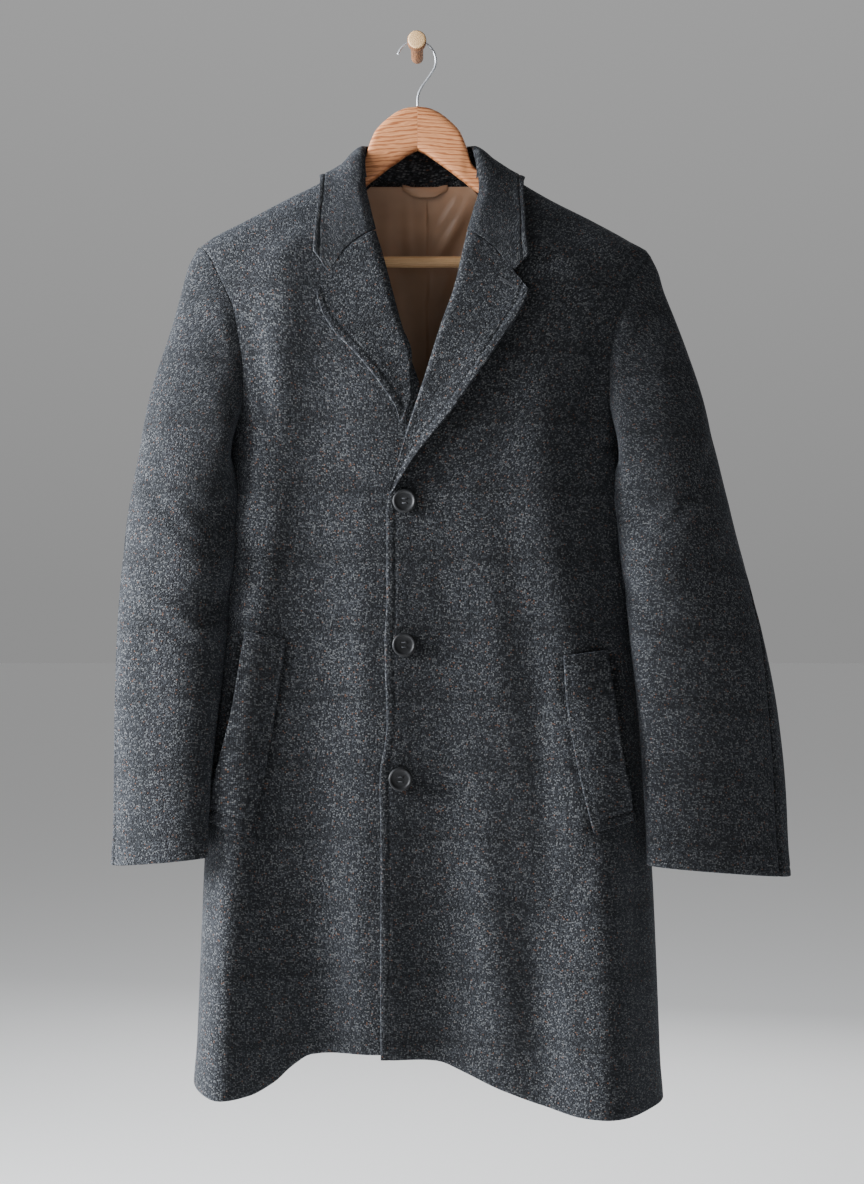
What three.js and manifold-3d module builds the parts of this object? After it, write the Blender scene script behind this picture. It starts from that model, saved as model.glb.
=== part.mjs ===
// A wool overcoat buttoned on a wooden hanger that hangs from a round wall peg.
// Millimetres, +Z up. The coat faces -Y. The origin is the centre of the peg's back face.
// left and right in node names are the wearer's, so front_left is on the +X side and lies on top.
import * as THREE from "three";
import { mergeVertices } from "three/addons/utils/BufferGeometryUtils.js";
import Module from "manifold-3d";

const wasm = await Module();
wasm.setup();

// Driving dimensions
const CLOTH = 2.4;
const SEAM = 0.3;
const LAYER = 1.2;
const LINING = 1.2;
const STAND_CLOTH = 1.7;
const BUTTON_SHANK = 1.2;
const BUTTON_HOLE_RADIUS = 1;
const BUTTON_HOLE_SPREAD = 2.4;
const WIRE = 2.7;
const BAR_RADIUS = 6;
const BAR_LENGTH = 380;
const BAR_Z = -229;
const PEG_LENGTH = 75;
const FREE_HEM = -900;
const LOW_HEM = -1108;

const WOOL = { color: 0x2b2f36, roughness: 0.95, metalness: 0 };
const SATIN = { color: 0x785a46, roughness: 0.45, metalness: 0 };
const HORN = { color: 0x15161a, roughness: 0.5, metalness: 0 };
const WOOD = { color: 0xcd9169, roughness: 0.55, metalness: 0 };
const STEEL = { color: 0xb8bcc0, roughness: 0.3, metalness: 1 };

// A table is a set of smooth columns over its first one: table("z left", rows).left(z)
function table(names, rows) {
  const [, ...columns] = names.split(" ");
  const sorted = [...rows].sort((a, b) => a[0] - b[0]);
  const keys = sorted.map((row) => row[0]);
  const made = {};
  columns.forEach((name, i) => {
    made[name] = smoothCurve(keys, sorted.map((row) => row[i + 1]));
  });
  return made;
}

function smoothCurve(keys, values) {
  const steps = keys.slice(1).map((key, i) => (values[i + 1] - values[i]) / (key - keys[i]));
  const slopes = keys.map((_, i) => {
    if (i === 0) return steps[0];
    if (i === keys.length - 1) return steps.at(-1);
    const [a, b] = [steps[i - 1], steps[i]];
    return a * b <= 0 ? 0 : (2 * a * b) / (a + b);
  });
  return (key) => {
    const at = Math.min(Math.max(key, keys[0]), keys.at(-1));
    let i = 0;
    while (i < keys.length - 2 && at > keys[i + 1]) i += 1;
    const h = keys[i + 1] - keys[i];
    const u = (at - keys[i]) / h;
    const rise = values[i + 1] - values[i];
    const start = slopes[i] * h;
    const end = slopes[i + 1] * h;
    return values[i] + start * u + (3 * rise - 2 * start - end) * u * u + (start + end - 2 * rise) * u ** 3;
  };
}

const smooth = (low, high, value) => {
  const u = Math.min(Math.max((value - low) / (high - low), 0), 1);
  return u * u * (3 - 2 * u);
};
const mix = (a, b, u) => a + (b - a) * u;
const power = (value, n) => Math.sign(value) * Math.abs(value) ** n;

// The coat's level sections: where each side, the front and the back lie, and how square they are
const BODY = table("z left right side front back square", [
  [-100, -29, 41.5, -38, -45.5, -18.1, 2.0],
  [-122, -66, 76, -38, -56, -15, 2.0],
  [-143, -101, 109, -38, -66, -12, 2.0],
  [-163, -141, 143, -38, -76, -10, 2.0],
  [-187, -186, 190, -38, -88, -9, 2.1],
  [-208, -224, 227, -39, -96, -8.5, 2.3],
  [-223, -238, 249, -40, -101, -8, 2.4],
  [-260, -230, 242, -43, -109, -8, 2.6],
  [-310, -216, 231, -47, -116, -8, 2.8],
  [-370, -205, 222, -50, -121, -8, 3.0],
  [-434, -201, 219, -52, -124, -8, 3.0],
  [-600, -210, 229, -54, -124, -9, 3.0],
  [-869, -225, 249, -56, -119, -11, 3.0],
  [-1000, -230, 255, -58, -114, -13, 3.0],
  [-1130, -235, 260, -60, -108, -15, 3.0],
]);

// Folds of the fronts and the back. A height above zero is a ridge, below zero a trough.
const FRONT_FOLDS = [
  table("z x height width", [
    [-150, -130, 0, 24], [-281, -141, 5, 24], [-385, -153, 7, 26], [-581, -176, 9, 27],
    [-695, -186, 12, 28], [-860, -197, 20, 30], [-1004, -203, 29, 32], [-1100, -205, 34, 34],
  ]),
  table("z x height width", [
    [-200, -90, 0, 30], [-330, -98, -4, 34], [-560, -104, -8, 38], [-800, -106, -14, 40],
    [-960, -106, -22, 42], [-1060, -105, -29, 44],
  ]),
  table("z x height width", [
    [-230, 128, 0, 24], [-364, 122, 5, 28], [-509, 133, 8, 32], [-643, 160, 11, 38],
    [-798, 182, 18, 42], [-952, 194, 28, 44], [-1120, 198, 38, 46],
  ]),
  table("z x height width", [
    [-470, 30, 0, 36], [-640, 28, -5, 40], [-800, 26, -10, 44], [-960, 24, -18, 48],
    [-1070, 22, -26, 52],
  ]),
];
const BACK_FOLDS = [
  table("z x height width", [[-300, -150, 0, 26], [-600, -158, -3, 30], [-1100, -165, -8, 34]]),
  table("z x height width", [[-260, 52, 0, 28], [-620, 58, -3, 32], [-1100, 66, -9, 36]]),
];

const NECK_POINT = -122;
const TIP = { right: -214, left: -223 };
const UNDERARM = { right: -432, left: -436 };
const ARMHOLE = {
  right: table("z front back", [
    [-214, -234, -234], [-222, -224, -226], [-255, -206.5, -212], [-283, -193.6, -203],
    [-314, -187, -197], [-346, -182, -194], [-379, -181, -194], [-410, -188, -196], [-432, -201, -201],
  ]),
  left: table("z front back", [
    [-223, 249, 249], [-232, 241, 242], [-264, 224, 229], [-298, 211, 219],
    [-335, 203, 211], [-380, 201, 209], [-412, 207, 211], [-436, 219, 219],
  ]),
};

// Inner limit of each front: the neck seam, the roll line, then the buttoned edge
const FRONT_EDGE = {
  right: table("z x", [
    [-122, -63], [-152, -58], [-177, -52], [-207, -45], [-230, -37], [-272, -27], [-306, -18],
    [-339, -7], [-367, 2.7], [-420, 12], [-480, 25], [-520, 24], [-1108, 20],
  ]),
  left: table("z x", [
    [-122, 72], [-156, 68.5], [-192, 60], [-209, 55.5], [-231, 50], [-265, 43], [-301, 30.5], [-363, 10.7],
    [-384, 8.4], [-413, -5.4], [-442, -12], [-481, -27.4], [-492, -30.4], [-591, -30.6],
    [-639, -32.7], [-720, -30.6], [-778, -38], [-840, -37], [-1074, -37.5],
  ]),
};
const HEM = {
  right: table("x z", [
    [-234, -1099], [-205, -1107], [-175, -1105], [-150, -1095], [-130, -1079], [-110, -1069],
    [-60, -1065.5], [20, -1066],
  ]),
  left: table("x z", [
    [-38, -1070], [20, -1074], [50, -1084], [90, -1101], [130, -1115], [170, -1123], [215, -1124],
    [259, -1117],
  ]),
  back: table("x z", [[-234, -1098], [-150, -1086], [10, -1076], [160, -1094], [259, -1116]]),
};

const BUTTONS = [
  { name: "button_1", x: -12, z: -489.4 },
  { name: "button_2", x: -13, z: -637 },
  { name: "button_3", x: -17, z: -775.3 },
];

function foldHeight(folds, x, z) {
  return folds.reduce((sum, fold) => {
    const reach = (x - fold.x(z)) / fold.width(z);
    return sum + fold.height(z) * Math.exp(-reach * reach);
  }, 0);
}

function section(z) {
  const [left, right, side] = [BODY.left(z), BODY.right(z), BODY.side(z)];
  return {
    middle: (left + right) / 2,
    half: (right - left) / 2,
    side,
    front: side - BODY.front(z),
    back: BODY.back(z) - side,
    square: BODY.square(z),
  };
}

// Zero on the coat's outer surface, above zero outside it
function outsideness(x, y, z) {
  const s = section(z);
  const front = y < s.side;
  const folds = front ? FRONT_FOLDS : BACK_FOLDS;
  const depth = front ? s.front : s.back;
  const away = Math.abs(y - s.side);
  const plain = Math.max(away - foldHeight(folds, x, z) * smooth(0, 0.5, away / depth), 0);
  const across = Math.abs(x - s.middle) / s.half;
  return (across ** s.square + (plain / depth) ** s.square) ** (1 / s.square) - 1;
}

function steepest(p) {
  const d = 0.5;
  const slope = new THREE.Vector3(
    outsideness(p.x + d, p.y, p.z) - outsideness(p.x - d, p.y, p.z),
    outsideness(p.x, p.y + d, p.z) - outsideness(p.x, p.y - d, p.z),
    outsideness(p.x, p.y, p.z + d) - outsideness(p.x, p.y, p.z - d),
  );
  const rate = slope.length() / (2 * d);
  return { out: slope.normalize(), rate };
}

// Moves a point out of the coat until it is at least gap away from its outer surface
function keepClear(p, gap) {
  for (let step = 0; step < 6; step += 1) {
    const { out, rate } = steepest(p);
    const missing = gap - outsideness(p.x, p.y, p.z) / rate;
    if (missing <= 0.01) break;
    p.addScaledVector(out, missing);
  }
  return p;
}

function depthAt(s, x, z, front) {
  const across = Math.min(Math.abs(x - s.middle) / s.half, 1);
  const share = (1 - across ** s.square) ** (1 / s.square);
  const folds = front ? FRONT_FOLDS : BACK_FOLDS;
  const away = share * (front ? s.front : s.back) + foldHeight(folds, x, z) * smooth(0, 0.5, share);
  return front ? s.side - away : s.side + away;
}

const surfacePoint = (x, z, front) => new THREE.Vector3(x, depthAt(section(z), x, z, front), z);

// A point on the front at x and z, moved out from the cloth
function laidOn(x, z, away) {
  const p = surfacePoint(x, z, true);
  return p.addScaledVector(steepest(p).out, away);
}

// One level row of a panel from one x to another, in equal steps along the cloth
function panelRow(rowZ, from, to, count, front, hem) {
  const s = section(rowZ);
  const angleOf = (x) => Math.acos(power(Math.min(Math.max((x - s.middle) / s.half, -1), 1), s.square / 2));
  const [start, end] = [angleOf(from), angleOf(to)];
  const fine = 90;
  const points = [];
  for (let i = 0; i <= fine; i += 1) {
    const x = s.middle + s.half * power(Math.cos(mix(start, end, i / fine)), 2 / s.square);
    const z = rowZ > FREE_HEM ? rowZ : mix(FREE_HEM, hem(x), (rowZ - FREE_HEM) / (LOW_HEM - FREE_HEM));
    points.push(new THREE.Vector3(x, depthAt(s, x, z, front), z));
  }
  const run = [0];
  for (let i = 1; i <= fine; i += 1) run.push(run[i - 1] + points[i].distanceTo(points[i - 1]));
  const row = [];
  for (let k = 0; k <= count; k += 1) {
    const along = mix(SEAM / 2, run[fine] - SEAM / 2, k / count);
    let i = 1;
    while (i < fine && run[i] < along) i += 1;
    const u = (along - run[i - 1]) / Math.max(run[i] - run[i - 1], 1e-9);
    row.push(points[i - 1].clone().lerp(points[i], u));
  }
  return row;
}

// Sews an outer and an inner grid of points into one closed wall
function wallGeometry(outer, inner) {
  const rows = outer.length;
  const cols = outer[0].length;
  const points = [...outer.flat(), ...inner.flat()];
  const offset = rows * cols;
  const at = (layer, r, c) => layer * offset + r * cols + c;
  const faces = [];
  const quad = (a, b, c, d) => faces.push(a, b, c, a, c, d);
  for (let r = 0; r < rows - 1; r += 1) {
    for (let c = 0; c < cols - 1; c += 1) {
      quad(at(0, r, c), at(0, r, c + 1), at(0, r + 1, c + 1), at(0, r + 1, c));
      quad(at(1, r, c), at(1, r + 1, c), at(1, r + 1, c + 1), at(1, r, c + 1));
    }
  }
  for (let c = 0; c < cols - 1; c += 1) {
    quad(at(0, 0, c), at(1, 0, c), at(1, 0, c + 1), at(0, 0, c + 1));
    quad(at(0, rows - 1, c), at(0, rows - 1, c + 1), at(1, rows - 1, c + 1), at(1, rows - 1, c));
  }
  for (let r = 0; r < rows - 1; r += 1) {
    quad(at(0, r, 0), at(0, r + 1, 0), at(1, r + 1, 0), at(1, r, 0));
    quad(at(0, r, cols - 1), at(1, r, cols - 1), at(1, r + 1, cols - 1), at(0, r + 1, cols - 1));
  }
  return closedGeometry(points, faces);
}

function closedGeometry(points, faces) {
  let volume = 0;
  for (let i = 0; i < faces.length; i += 3) {
    const [a, b, c] = [points[faces[i]], points[faces[i + 1]], points[faces[i + 2]]];
    volume += a.dot(b.clone().cross(c));
  }
  const geometry = new THREE.BufferGeometry();
  geometry.setAttribute("position", new THREE.Float32BufferAttribute(points.flatMap((p) => p.toArray()), 3));
  geometry.setIndex(volume < 0 ? [...faces].reverse() : faces);
  return geometry;
}

// The inner side of a wall that follows the coat's own surface
const bodyInner = (outer, thick) =>
  outer.map((row) => row.map((p) => p.clone().addScaledVector(steepest(p).out, -thick)));

// The inner side of a wall from the slopes of its own grid; side is 1 or -1
function gridInner(outer, thick, side) {
  return outer.map((row, r) =>
    row.map((p, c) => {
      const down = outer[Math.min(r + 1, outer.length - 1)][c].clone().sub(outer[Math.max(r - 1, 0)][c]);
      const along = row[Math.min(c + 1, row.length - 1)].clone().sub(row[Math.max(c - 1, 0)]);
      return p.clone().addScaledVector(down.cross(along).normalize(), thick * side);
    }),
  );
}

// A solid through a list of closed rings, with flat ends
function loftGeometry(rings) {
  const count = rings[0].length;
  const faces = [];
  for (let r = 0; r < rings.length - 1; r += 1) {
    for (let i = 0; i < count; i += 1) {
      const [a, b] = [r * count + i, r * count + ((i + 1) % count)];
      faces.push(a, b, b + count, a, b + count, a + count);
    }
  }
  const last = (rings.length - 1) * count;
  for (let i = 1; i < count - 1; i += 1) {
    faces.push(0, i + 1, i, last, last + i, last + i + 1);
  }
  return closedGeometry(rings.flat(), faces);
}

const coat = new THREE.Group();

function addMesh(name, geometry, finish) {
  const mesh = new THREE.Mesh(geometry, new THREE.MeshStandardMaterial(finish));
  mesh.name = name;
  coat.add(mesh);
  return mesh;
}

const FRONT_ROWS = [
  -122, -134, -147, -162, -178, -196, -214, -223, -240, -260, -283, -310, -340, -370, -395, -412, -425, -436,
  -470, -520, -580, -650, -720, -790, -850, -900, -950, -1000, -1045, -1080, -1108,
];
const FRONT_COLUMNS = 15;

function outerLimit(wearer, face, z) {
  const inHole = z < TIP[wearer] + 0.01 && z > UNDERARM[wearer] - 0.01;
  if (inHole) return ARMHOLE[wearer][face](z);
  return wearer === "right" ? BODY.left(z) : BODY.right(z);
}

// The front that lies on top stands out by one cloth and one gap towards the middle
const overlap = (x, z) => (CLOTH + LAYER) * (1 - smooth(50, 120, x)) * (1 - smooth(-345, -265, z));

function addFront(wearer) {
  const outer = FRONT_ROWS.map((z) => {
    const from = FRONT_EDGE[wearer].x(z);
    const row = panelRow(z, from, outerLimit(wearer, "front", z), FRONT_COLUMNS, true, HEM[wearer].z);
    if (wearer === "right") return row;
    return row.map((p) => p.addScaledVector(steepest(p).out, overlap(p.x, p.z)));
  });
  addMesh(`front_${wearer}`, wallGeometry(outer, bodyInner(outer, CLOTH)), WOOL);
}

const BACK_ROWS = [
  -122, -136, -152, -172, -196, -214, -223, -250, -290, -335, -380, -415, -436, -500, -590, -690, -800,
  -900, -960, -1020, -1070, -1108,
];
const BACK_COLUMNS = 20;
const BACK_NECK_DROP = 19;

function addBack() {
  const outer = BACK_ROWS.map((z) => {
    const ends = ["right", "left"].map((wearer) => outerLimit(wearer, "back", z));
    const row = panelRow(z, ends[0], ends[1], BACK_COLUMNS, false, HEM.back.z);
    const drop = BACK_NECK_DROP * (1 - smooth(0, 80, NECK_POINT - z));
    return row.map((p, i) => {
      const low = drop * Math.sin((Math.PI * i) / BACK_COLUMNS) ** 0.7;
      return low > 0.01 ? surfacePoint(p.x, p.z - low, false) : p;
    });
  });
  addMesh("back", wallGeometry(outer, bodyInner(outer, CLOTH)), WOOL);
}

// Sleeves: the outer line from the shoulder tip, the inner line from the underarm, both to the cuff
const SLEEVE_COLUMNS = "t outerX outerY outerZ innerX innerY innerZ depth seam gap";
const SLEEVE = {
  right: table(SLEEVE_COLUMNS, [
    [0, -235, -38, -214, -202, -50, -432, 46, -24, 3.4],
    [0.05, -249, -40, -250, -196, -66, -440, 48, -20, 3.4],
    [0.12, -258, -46, -296, -188, -84, -458, 50, -14, 3.4],
    [0.2, -271, -52, -350, -185, -96, -482, 50, -8, 3.4],
    [0.32, -287, -58, -430, -189, -103, -522, 48, 4, 3.4],
    [0.45, -302, -62, -514, -195, -107, -575, 45, 14, 3.4],
    [0.6, -311, -66, -612, -201, -109, -640, 42, 22, 3.4],
    [0.75, -314.5, -69, -708, -206, -110, -712, 40, 26, 7],
    [0.88, -316, -71, -792, -210.5, -110, -790, 38, 28, 11],
    [1, -318, -72, -869, -211, -108, -857, 36, 28, 11],
  ]),
  left: table(SLEEVE_COLUMNS, [
    [0, 250, -38, -223, 220, -50, -436, 46, -24, 3.4],
    [0.05, 262, -40, -257, 213, -66, -444, 48, -20, 3.4],
    [0.12, 276, -46, -299, 206, -84, -460, 48, -14, 3.4],
    [0.2, 290, -52, -350, 207, -96, -484, 46, -8, 3.4],
    [0.32, 310, -58, -430, 213, -104, -520, 44, 2, 3.4],
    [0.45, 333, -62, -518, 221, -108, -574, 40, 10, 3.4],
    [0.6, 361, -66, -618, 229, -111, -640, 35, 17, 3.4],
    [0.75, 380, -69, -712, 236, -113, -712, 30, 22, 3.4],
    [0.88, 389, -71, -798, 240.5, -113, -792, 26, 24, 3.4],
    [1, 392, -73, -882, 245, -112, -866, 24, 24, 3.4],
  ]),
};
const SLEEVE_ROWS = [
  0, 0.03, 0.07, 0.12, 0.17, 0.23, 0.29, 0.36, 0.43, 0.5, 0.57, 0.64, 0.71, 0.78, 0.85, 0.92, 1,
];
const CAP_REACH = 0.25;
const HOLE_GAP = 1.4;
const LOW_HOLE_GAP = 3.6;
const INSEAM = 196;

// Hollows and ridges of the sleeves: where along and around, how far each way, how high
const SLEEVE_FOLDS = [
  { along: 0.3, around: 140, reach: 0.05, turn: 40, height: -7 },
  { along: 0.42, around: 120, reach: 0.05, turn: 50, height: 5 },
  { along: 0.5, around: 150, reach: 0.04, turn: 40, height: -6 },
  { along: 0.66, around: 60, reach: 0.12, turn: 26, height: 4 },
];

const radians = (degrees) => (degrees * Math.PI) / 180;

function armholePoint(wearer, turn) {
  const z = mix(TIP[wearer], UNDERARM[wearer], (1 - Math.cos(turn)) / 2);
  const front = Math.sin(turn) >= 0;
  const x = ARMHOLE[wearer][front ? "front" : "back"](z);
  return surfacePoint(x, z, front);
}

function sleeveSection(wearer, t, turn) {
  const line = SLEEVE[wearer];
  const outer = new THREE.Vector3(line.outerX(t), line.outerY(t), line.outerZ(t));
  const inner = new THREE.Vector3(line.innerX(t), line.innerY(t), line.innerZ(t));
  const middle = outer.clone().add(inner).multiplyScalar(0.5);
  const half = outer.clone().sub(inner).multiplyScalar(0.5);
  const flat = new THREE.Vector3(half.x, half.y, 0);
  const forward = new THREE.Vector3(0, 0, 1).cross(flat).normalize();
  forward.multiplyScalar(forward.y > 0 ? -1 : 1);
  return middle
    .addScaledVector(half, power(Math.cos(turn), 0.9))
    .addScaledVector(forward, line.depth(t) * power(Math.sin(turn), 0.9));
}

function sleevePoint(wearer, t, turn) {
  const sign = wearer === "right" ? -1 : 1;
  const p = sleeveSection(wearer, t, turn);
  const cap = armholePoint(wearer, turn).sub(sleeveSection(wearer, 0, turn));
  p.addScaledVector(cap, 1 - smooth(0, CAP_REACH, t));
  const swell = SLEEVE_FOLDS.reduce((sum, fold) => {
    const away = ((turn * 180) / Math.PI - fold.around) / fold.turn;
    const along = (t - fold.along - 0.02 * away) / fold.reach;
    return sum + fold.height * Math.exp(-away * away - along * along);
  }, 0);
  p.y -= swell * Math.sin(turn);
  p.x += sign * swell * Math.cos(turn);
  const low = smooth(-0.5, 0.3, -Math.cos(turn));
  p.x += sign * mix(HOLE_GAP, LOW_HOLE_GAP, low) * (1 - smooth(0, 0.1, t));
  return keepClear(p, SLEEVE[wearer].gap(t) * mix(smooth(0, 0.1, t), smooth(-0.09, 0.03, t), low));
}

function sleeveWall(wearer, fromTurn, toTurn, count) {
  const sign = wearer === "right" ? 1 : -1;
  const step = 0.01;
  const outer = [];
  const inner = [];
  SLEEVE_ROWS.forEach((t) => {
    const row = [];
    const under = [];
    const from = fromTurn(t);
    const to = toTurn(t);
    for (let c = 0; c <= count; c += 1) {
      const turn = mix(from, to, c / count);
      const p = sleevePoint(wearer, t, turn);
      const around = sleevePoint(wearer, t, turn + step).sub(sleevePoint(wearer, t, turn - step));
      const low = Math.max(t, 0.03);
      const above = sleevePoint(wearer, low - step, turn);
      const down = sleevePoint(wearer, Math.min(low + step, 1), turn).sub(above);
      row.push(p);
      under.push(p.clone().addScaledVector(down.cross(around).normalize(), sign * CLOTH));
    }
    outer.push(row);
    inner.push(under);
  });
  return wallGeometry(outer, inner);
}

function addSleeve(wearer) {
  const margin = (t) => mix(0.05, 0.006, smooth(0, 0.12, t));
  const elbow = (t) => radians(SLEEVE[wearer].seam(t));
  const inseam = radians(INSEAM);
  const topFrom = (t) => elbow(t) + margin(t);
  const topTo = (t) => inseam - margin(t);
  addMesh(`top_sleeve_${wearer}`, sleeveWall(wearer, topFrom, topTo, 15), WOOL);
  const underFrom = (t) => inseam + margin(t);
  const underTo = (t) => elbow(t) + 2 * Math.PI - margin(t);
  addMesh(`under_sleeve_${wearer}`, sleeveWall(wearer, underFrom, underTo, 11), WOOL);
}

// Collar: the fold line, the leaf's edge and the neck seam, from the right end round to the left
const COLLAR = table("t foldX foldY foldZ edgeX edgeY edgeZ seamX seamY seamZ", [
  [-1, -42, -84, -207, -107.6, -98, -229, -46, -80, -203],
  [-0.8, -49, -77, -177, -106, -88, -203, -52, -74, -176],
  [-0.62, -54, -68, -150, -103, -70, -170, -52.5, -63, -149],
  [-0.42, -56, -52, -118, -100.5, -44, -145, -56, -49, -130],
  [-0.3, -58, -38, -106, -98, -20, -148, -60, -35, -117],
  [-0.15, -40, -23, -102, -60, -5, -160, -46, -14, -131],
  [0, 4, -20, -101, 4, -3.5, -165, 4, -10.5, -140.5],
  [0.15, 46, -23, -102, 68, -5, -160, 53, -14, -131],
  [0.3, 66, -38, -106, 106, -20, -149, 69, -35, -117],
  [0.42, 66, -52, -118, 111, -44, -147, 65.5, -49, -130],
  [0.62, 65.4, -68, -154, 112, -70, -178, 62, -63, -151],
  [0.8, 59, -78, -182, 113, -88, -207, 62, -74, -180],
  [1, 52, -86, -208, 116.4, -100, -232, 58, -82, -204],
]);
// Each end of the leaf: the gorge seam out to the notch, then the leaf's own short end
const GORGE = {
  right: table("s x z", [
    [0, -42, -207], [0.35, -70.8, -226], [0.72, -91.3, -250], [0.88, -101, -237.6], [1, -107.6, -229],
  ]),
  left: table("s x z", [
    [0, 52, -208], [0.35, 79, -226], [0.72, 100.3, -250], [0.88, 110, -240], [1, 116.4, -232.6],
  ]),
};
const LEAF_ROWS = [
  -1, -0.94, -0.86, -0.74, -0.62, -0.52, -0.42, -0.34, -0.26, -0.16, -0.05,
  0.05, 0.16, 0.26, 0.34, 0.42, 0.52, 0.62, 0.74, 0.86, 0.94, 1,
];
const LEAF_STEPS = [0, 0.06, 0.16, 0.35, 0.55, 0.72, 0.88, 1];
const LEAF_SWELL = 7;
const LEAF_FOLD_GAP = 2;
const LEAF_GAP = 5.8;
const NECK_MIDDLE = { x: 5, y: -38 };
const STAND_ROWS = [
  -0.55, -0.48, -0.42, -0.36, -0.3, -0.22, -0.14, -0.07, 0, 0.07, 0.14, 0.22, 0.3, 0.36, 0.42, 0.48, 0.55,
];
const STAND_STEPS = [0, 0.4, 0.78];

const foldPoint = (t) => new THREE.Vector3(COLLAR.foldX(t), COLLAR.foldY(t), COLLAR.foldZ(t));

function leafPoint(t, s) {
  const edge = new THREE.Vector3(COLLAR.edgeX(t), COLLAR.edgeY(t), COLLAR.edgeZ(t));
  const p = foldPoint(t).lerp(edge, s);
  const gorge = t < 0 ? GORGE.right : GORGE.left;
  const end = smooth(0.55, 1, Math.abs(t));
  const last = t < 0 ? -1 : 1;
  const straightX = mix(COLLAR.foldX(last), COLLAR.edgeX(last), s);
  const straightZ = mix(COLLAR.foldZ(last), COLLAR.edgeZ(last), s);
  p.x += (gorge.x(s) - straightX) * end;
  p.z += (gorge.z(s) - straightZ) * end;
  const away = new THREE.Vector3(p.x - NECK_MIDDLE.x, p.y - NECK_MIDDLE.y, 40).normalize();
  p.addScaledVector(away, LEAF_SWELL * Math.sin(Math.PI * Math.sqrt(s)) * (1 - end));
  return keepClear(p, mix(LEAF_FOLD_GAP, LEAF_GAP, smooth(0, 0.1, s)));
}

function addCollar() {
  const leaf = LEAF_ROWS.map((t) => LEAF_STEPS.map((s) => leafPoint(t, s)));
  addMesh("collar", wallGeometry(leaf, gridInner(leaf, CLOTH, 1)), WOOL);
  const stand = STAND_ROWS.map((t) =>
    STAND_STEPS.map((u) => {
      const seam = new THREE.Vector3(COLLAR.seamX(t), COLLAR.seamY(t), COLLAR.seamZ(t));
      return seam.lerp(foldPoint(t), u);
    }),
  );
  addMesh("collar_stand", wallGeometry(stand, gridInner(stand, STAND_CLOTH, -1)), WOOL);
}

// Lapels: the roll line and the outer edge from the gorge down, and how far the edge stands off
const LAPEL = {
  right: table("t rollX rollZ edgeX edgeZ lift", [
    [0, -42, -208, -103.3, -275.6, 1.5],
    [0.15, -35, -232, -98, -292, 1.5],
    [0.32, -25, -270, -84, -314, 1.6],
    [0.5, -15, -307, -61, -338, 1.8],
    [0.68, -5, -338, -34.6, -372, 1.6],
    [0.85, -4.5, -376, -20, -396, 1],
    [1, -14.5, -408, -17, -409, 0],
  ]),
  left: table("t rollX rollZ edgeX edgeZ lift", [
    [0, 52, -209, 116, -272, 3],
    [0.12, 47, -231, 108.6, -291, 4],
    [0.28, 39, -266, 87, -325, 6],
    [0.45, 26.4, -302, 64.6, -356.6, 8],
    [0.62, 7.7, -362, 34, -400, 8],
    [0.8, -9, -413, -0.5, -441.6, 5],
    [1, -27, -476, -29, -487, 0.5],
  ]),
};
const LAPEL_TOP = {
  right: table("s x z", [[0, -42, -208], [0.4, -70.8, -226.8], [0.74, -91.3, -250.8], [1, -103.3, -275.6]]),
  left: table("s x z", [[0, 52, -209], [0.4, 79, -226.8], [0.74, 100.3, -250.8], [1, 116, -272]]),
};
const LAPEL_ROLL = table("s away", [[0, 0.8], [0.03, 3.5], [0.1, 5.8], [0.35, 5.2], [0.6, 4.4], [1, 4.2]]);
const LAPEL_ROWS = [0, 0.06, 0.14, 0.23, 0.32, 0.41, 0.5, 0.59, 0.68, 0.76, 0.84, 0.92, 1];
const LAPEL_STEPS = [0, 0.03, 0.1, 0.25, 0.5, 0.74, 1];
const LAPEL_TUCK = 3.2;

function lapelPoint(wearer, t, s) {
  const line = LAPEL[wearer];
  const top = LAPEL_TOP[wearer];
  const near = (1 - t) ** 3;
  const x = mix(line.rollX(t), line.edgeX(t), s) + (top.x(s) - mix(line.rollX(0), line.edgeX(0), s)) * near;
  const z = mix(line.rollZ(t), line.edgeZ(t), s) + (top.z(s) - mix(line.rollZ(0), line.edgeZ(0), s)) * near;
  const under = wearer === "left" ? overlap(x, z) : 0;
  const tucked = wearer === "right" ? LAPEL_TUCK * smooth(0.45, 0.65, t) : 0;
  const away = Math.max(LAPEL_ROLL.away(s), tucked);
  return laidOn(x, z, under + away + line.lift(t) * s * s);
}

function addLapel(wearer) {
  const outer = LAPEL_ROWS.map((t) => LAPEL_STEPS.map((s) => lapelPoint(wearer, t, s)));
  addMesh(`lapel_${wearer}`, wallGeometry(outer, bodyInner(outer, CLOTH)), WOOL);
}

// Pocket welts: their two long edges from the top down, and how far the open edge stands off
const WELT = {
  right: table("t closedX closedZ openX openZ", [
    [0, -136, -632.7, -175.7, -623.4],
    [0.2, -141, -670, -180, -655],
    [0.45, -148, -716, -188, -708],
    [0.7, -156.5, -762, -199, -757],
    [1, -172.5, -834, -214, -822],
  ]),
  left: table("t closedX closedZ openX openZ", [
    [0, 151.5, -649, 195, -643.4],
    [0.2, 153.5, -686, 197.6, -679],
    [0.45, 160, -731, 201, -724],
    [0.7, 168.5, -775, 207, -768],
    [1, 182, -830, 222, -820],
  ]),
};
const WELT_GAPE = {
  right: table("t away", [[0, 0.3], [0.3, 2.2], [0.7, 1.6], [1, 0.3]]),
  left: table("t away", [[0, 0.3], [0.3, 3], [0.7, 4], [1, 0.3]]),
};

const WELT_ROWS = [0, 0.12, 0.25, 0.37, 0.5, 0.62, 0.75, 0.88, 1];
const WELT_STEPS = [0, 0.2, 0.4, 0.6, 0.8, 1];
const WELT_GAP = 1.4;

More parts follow.
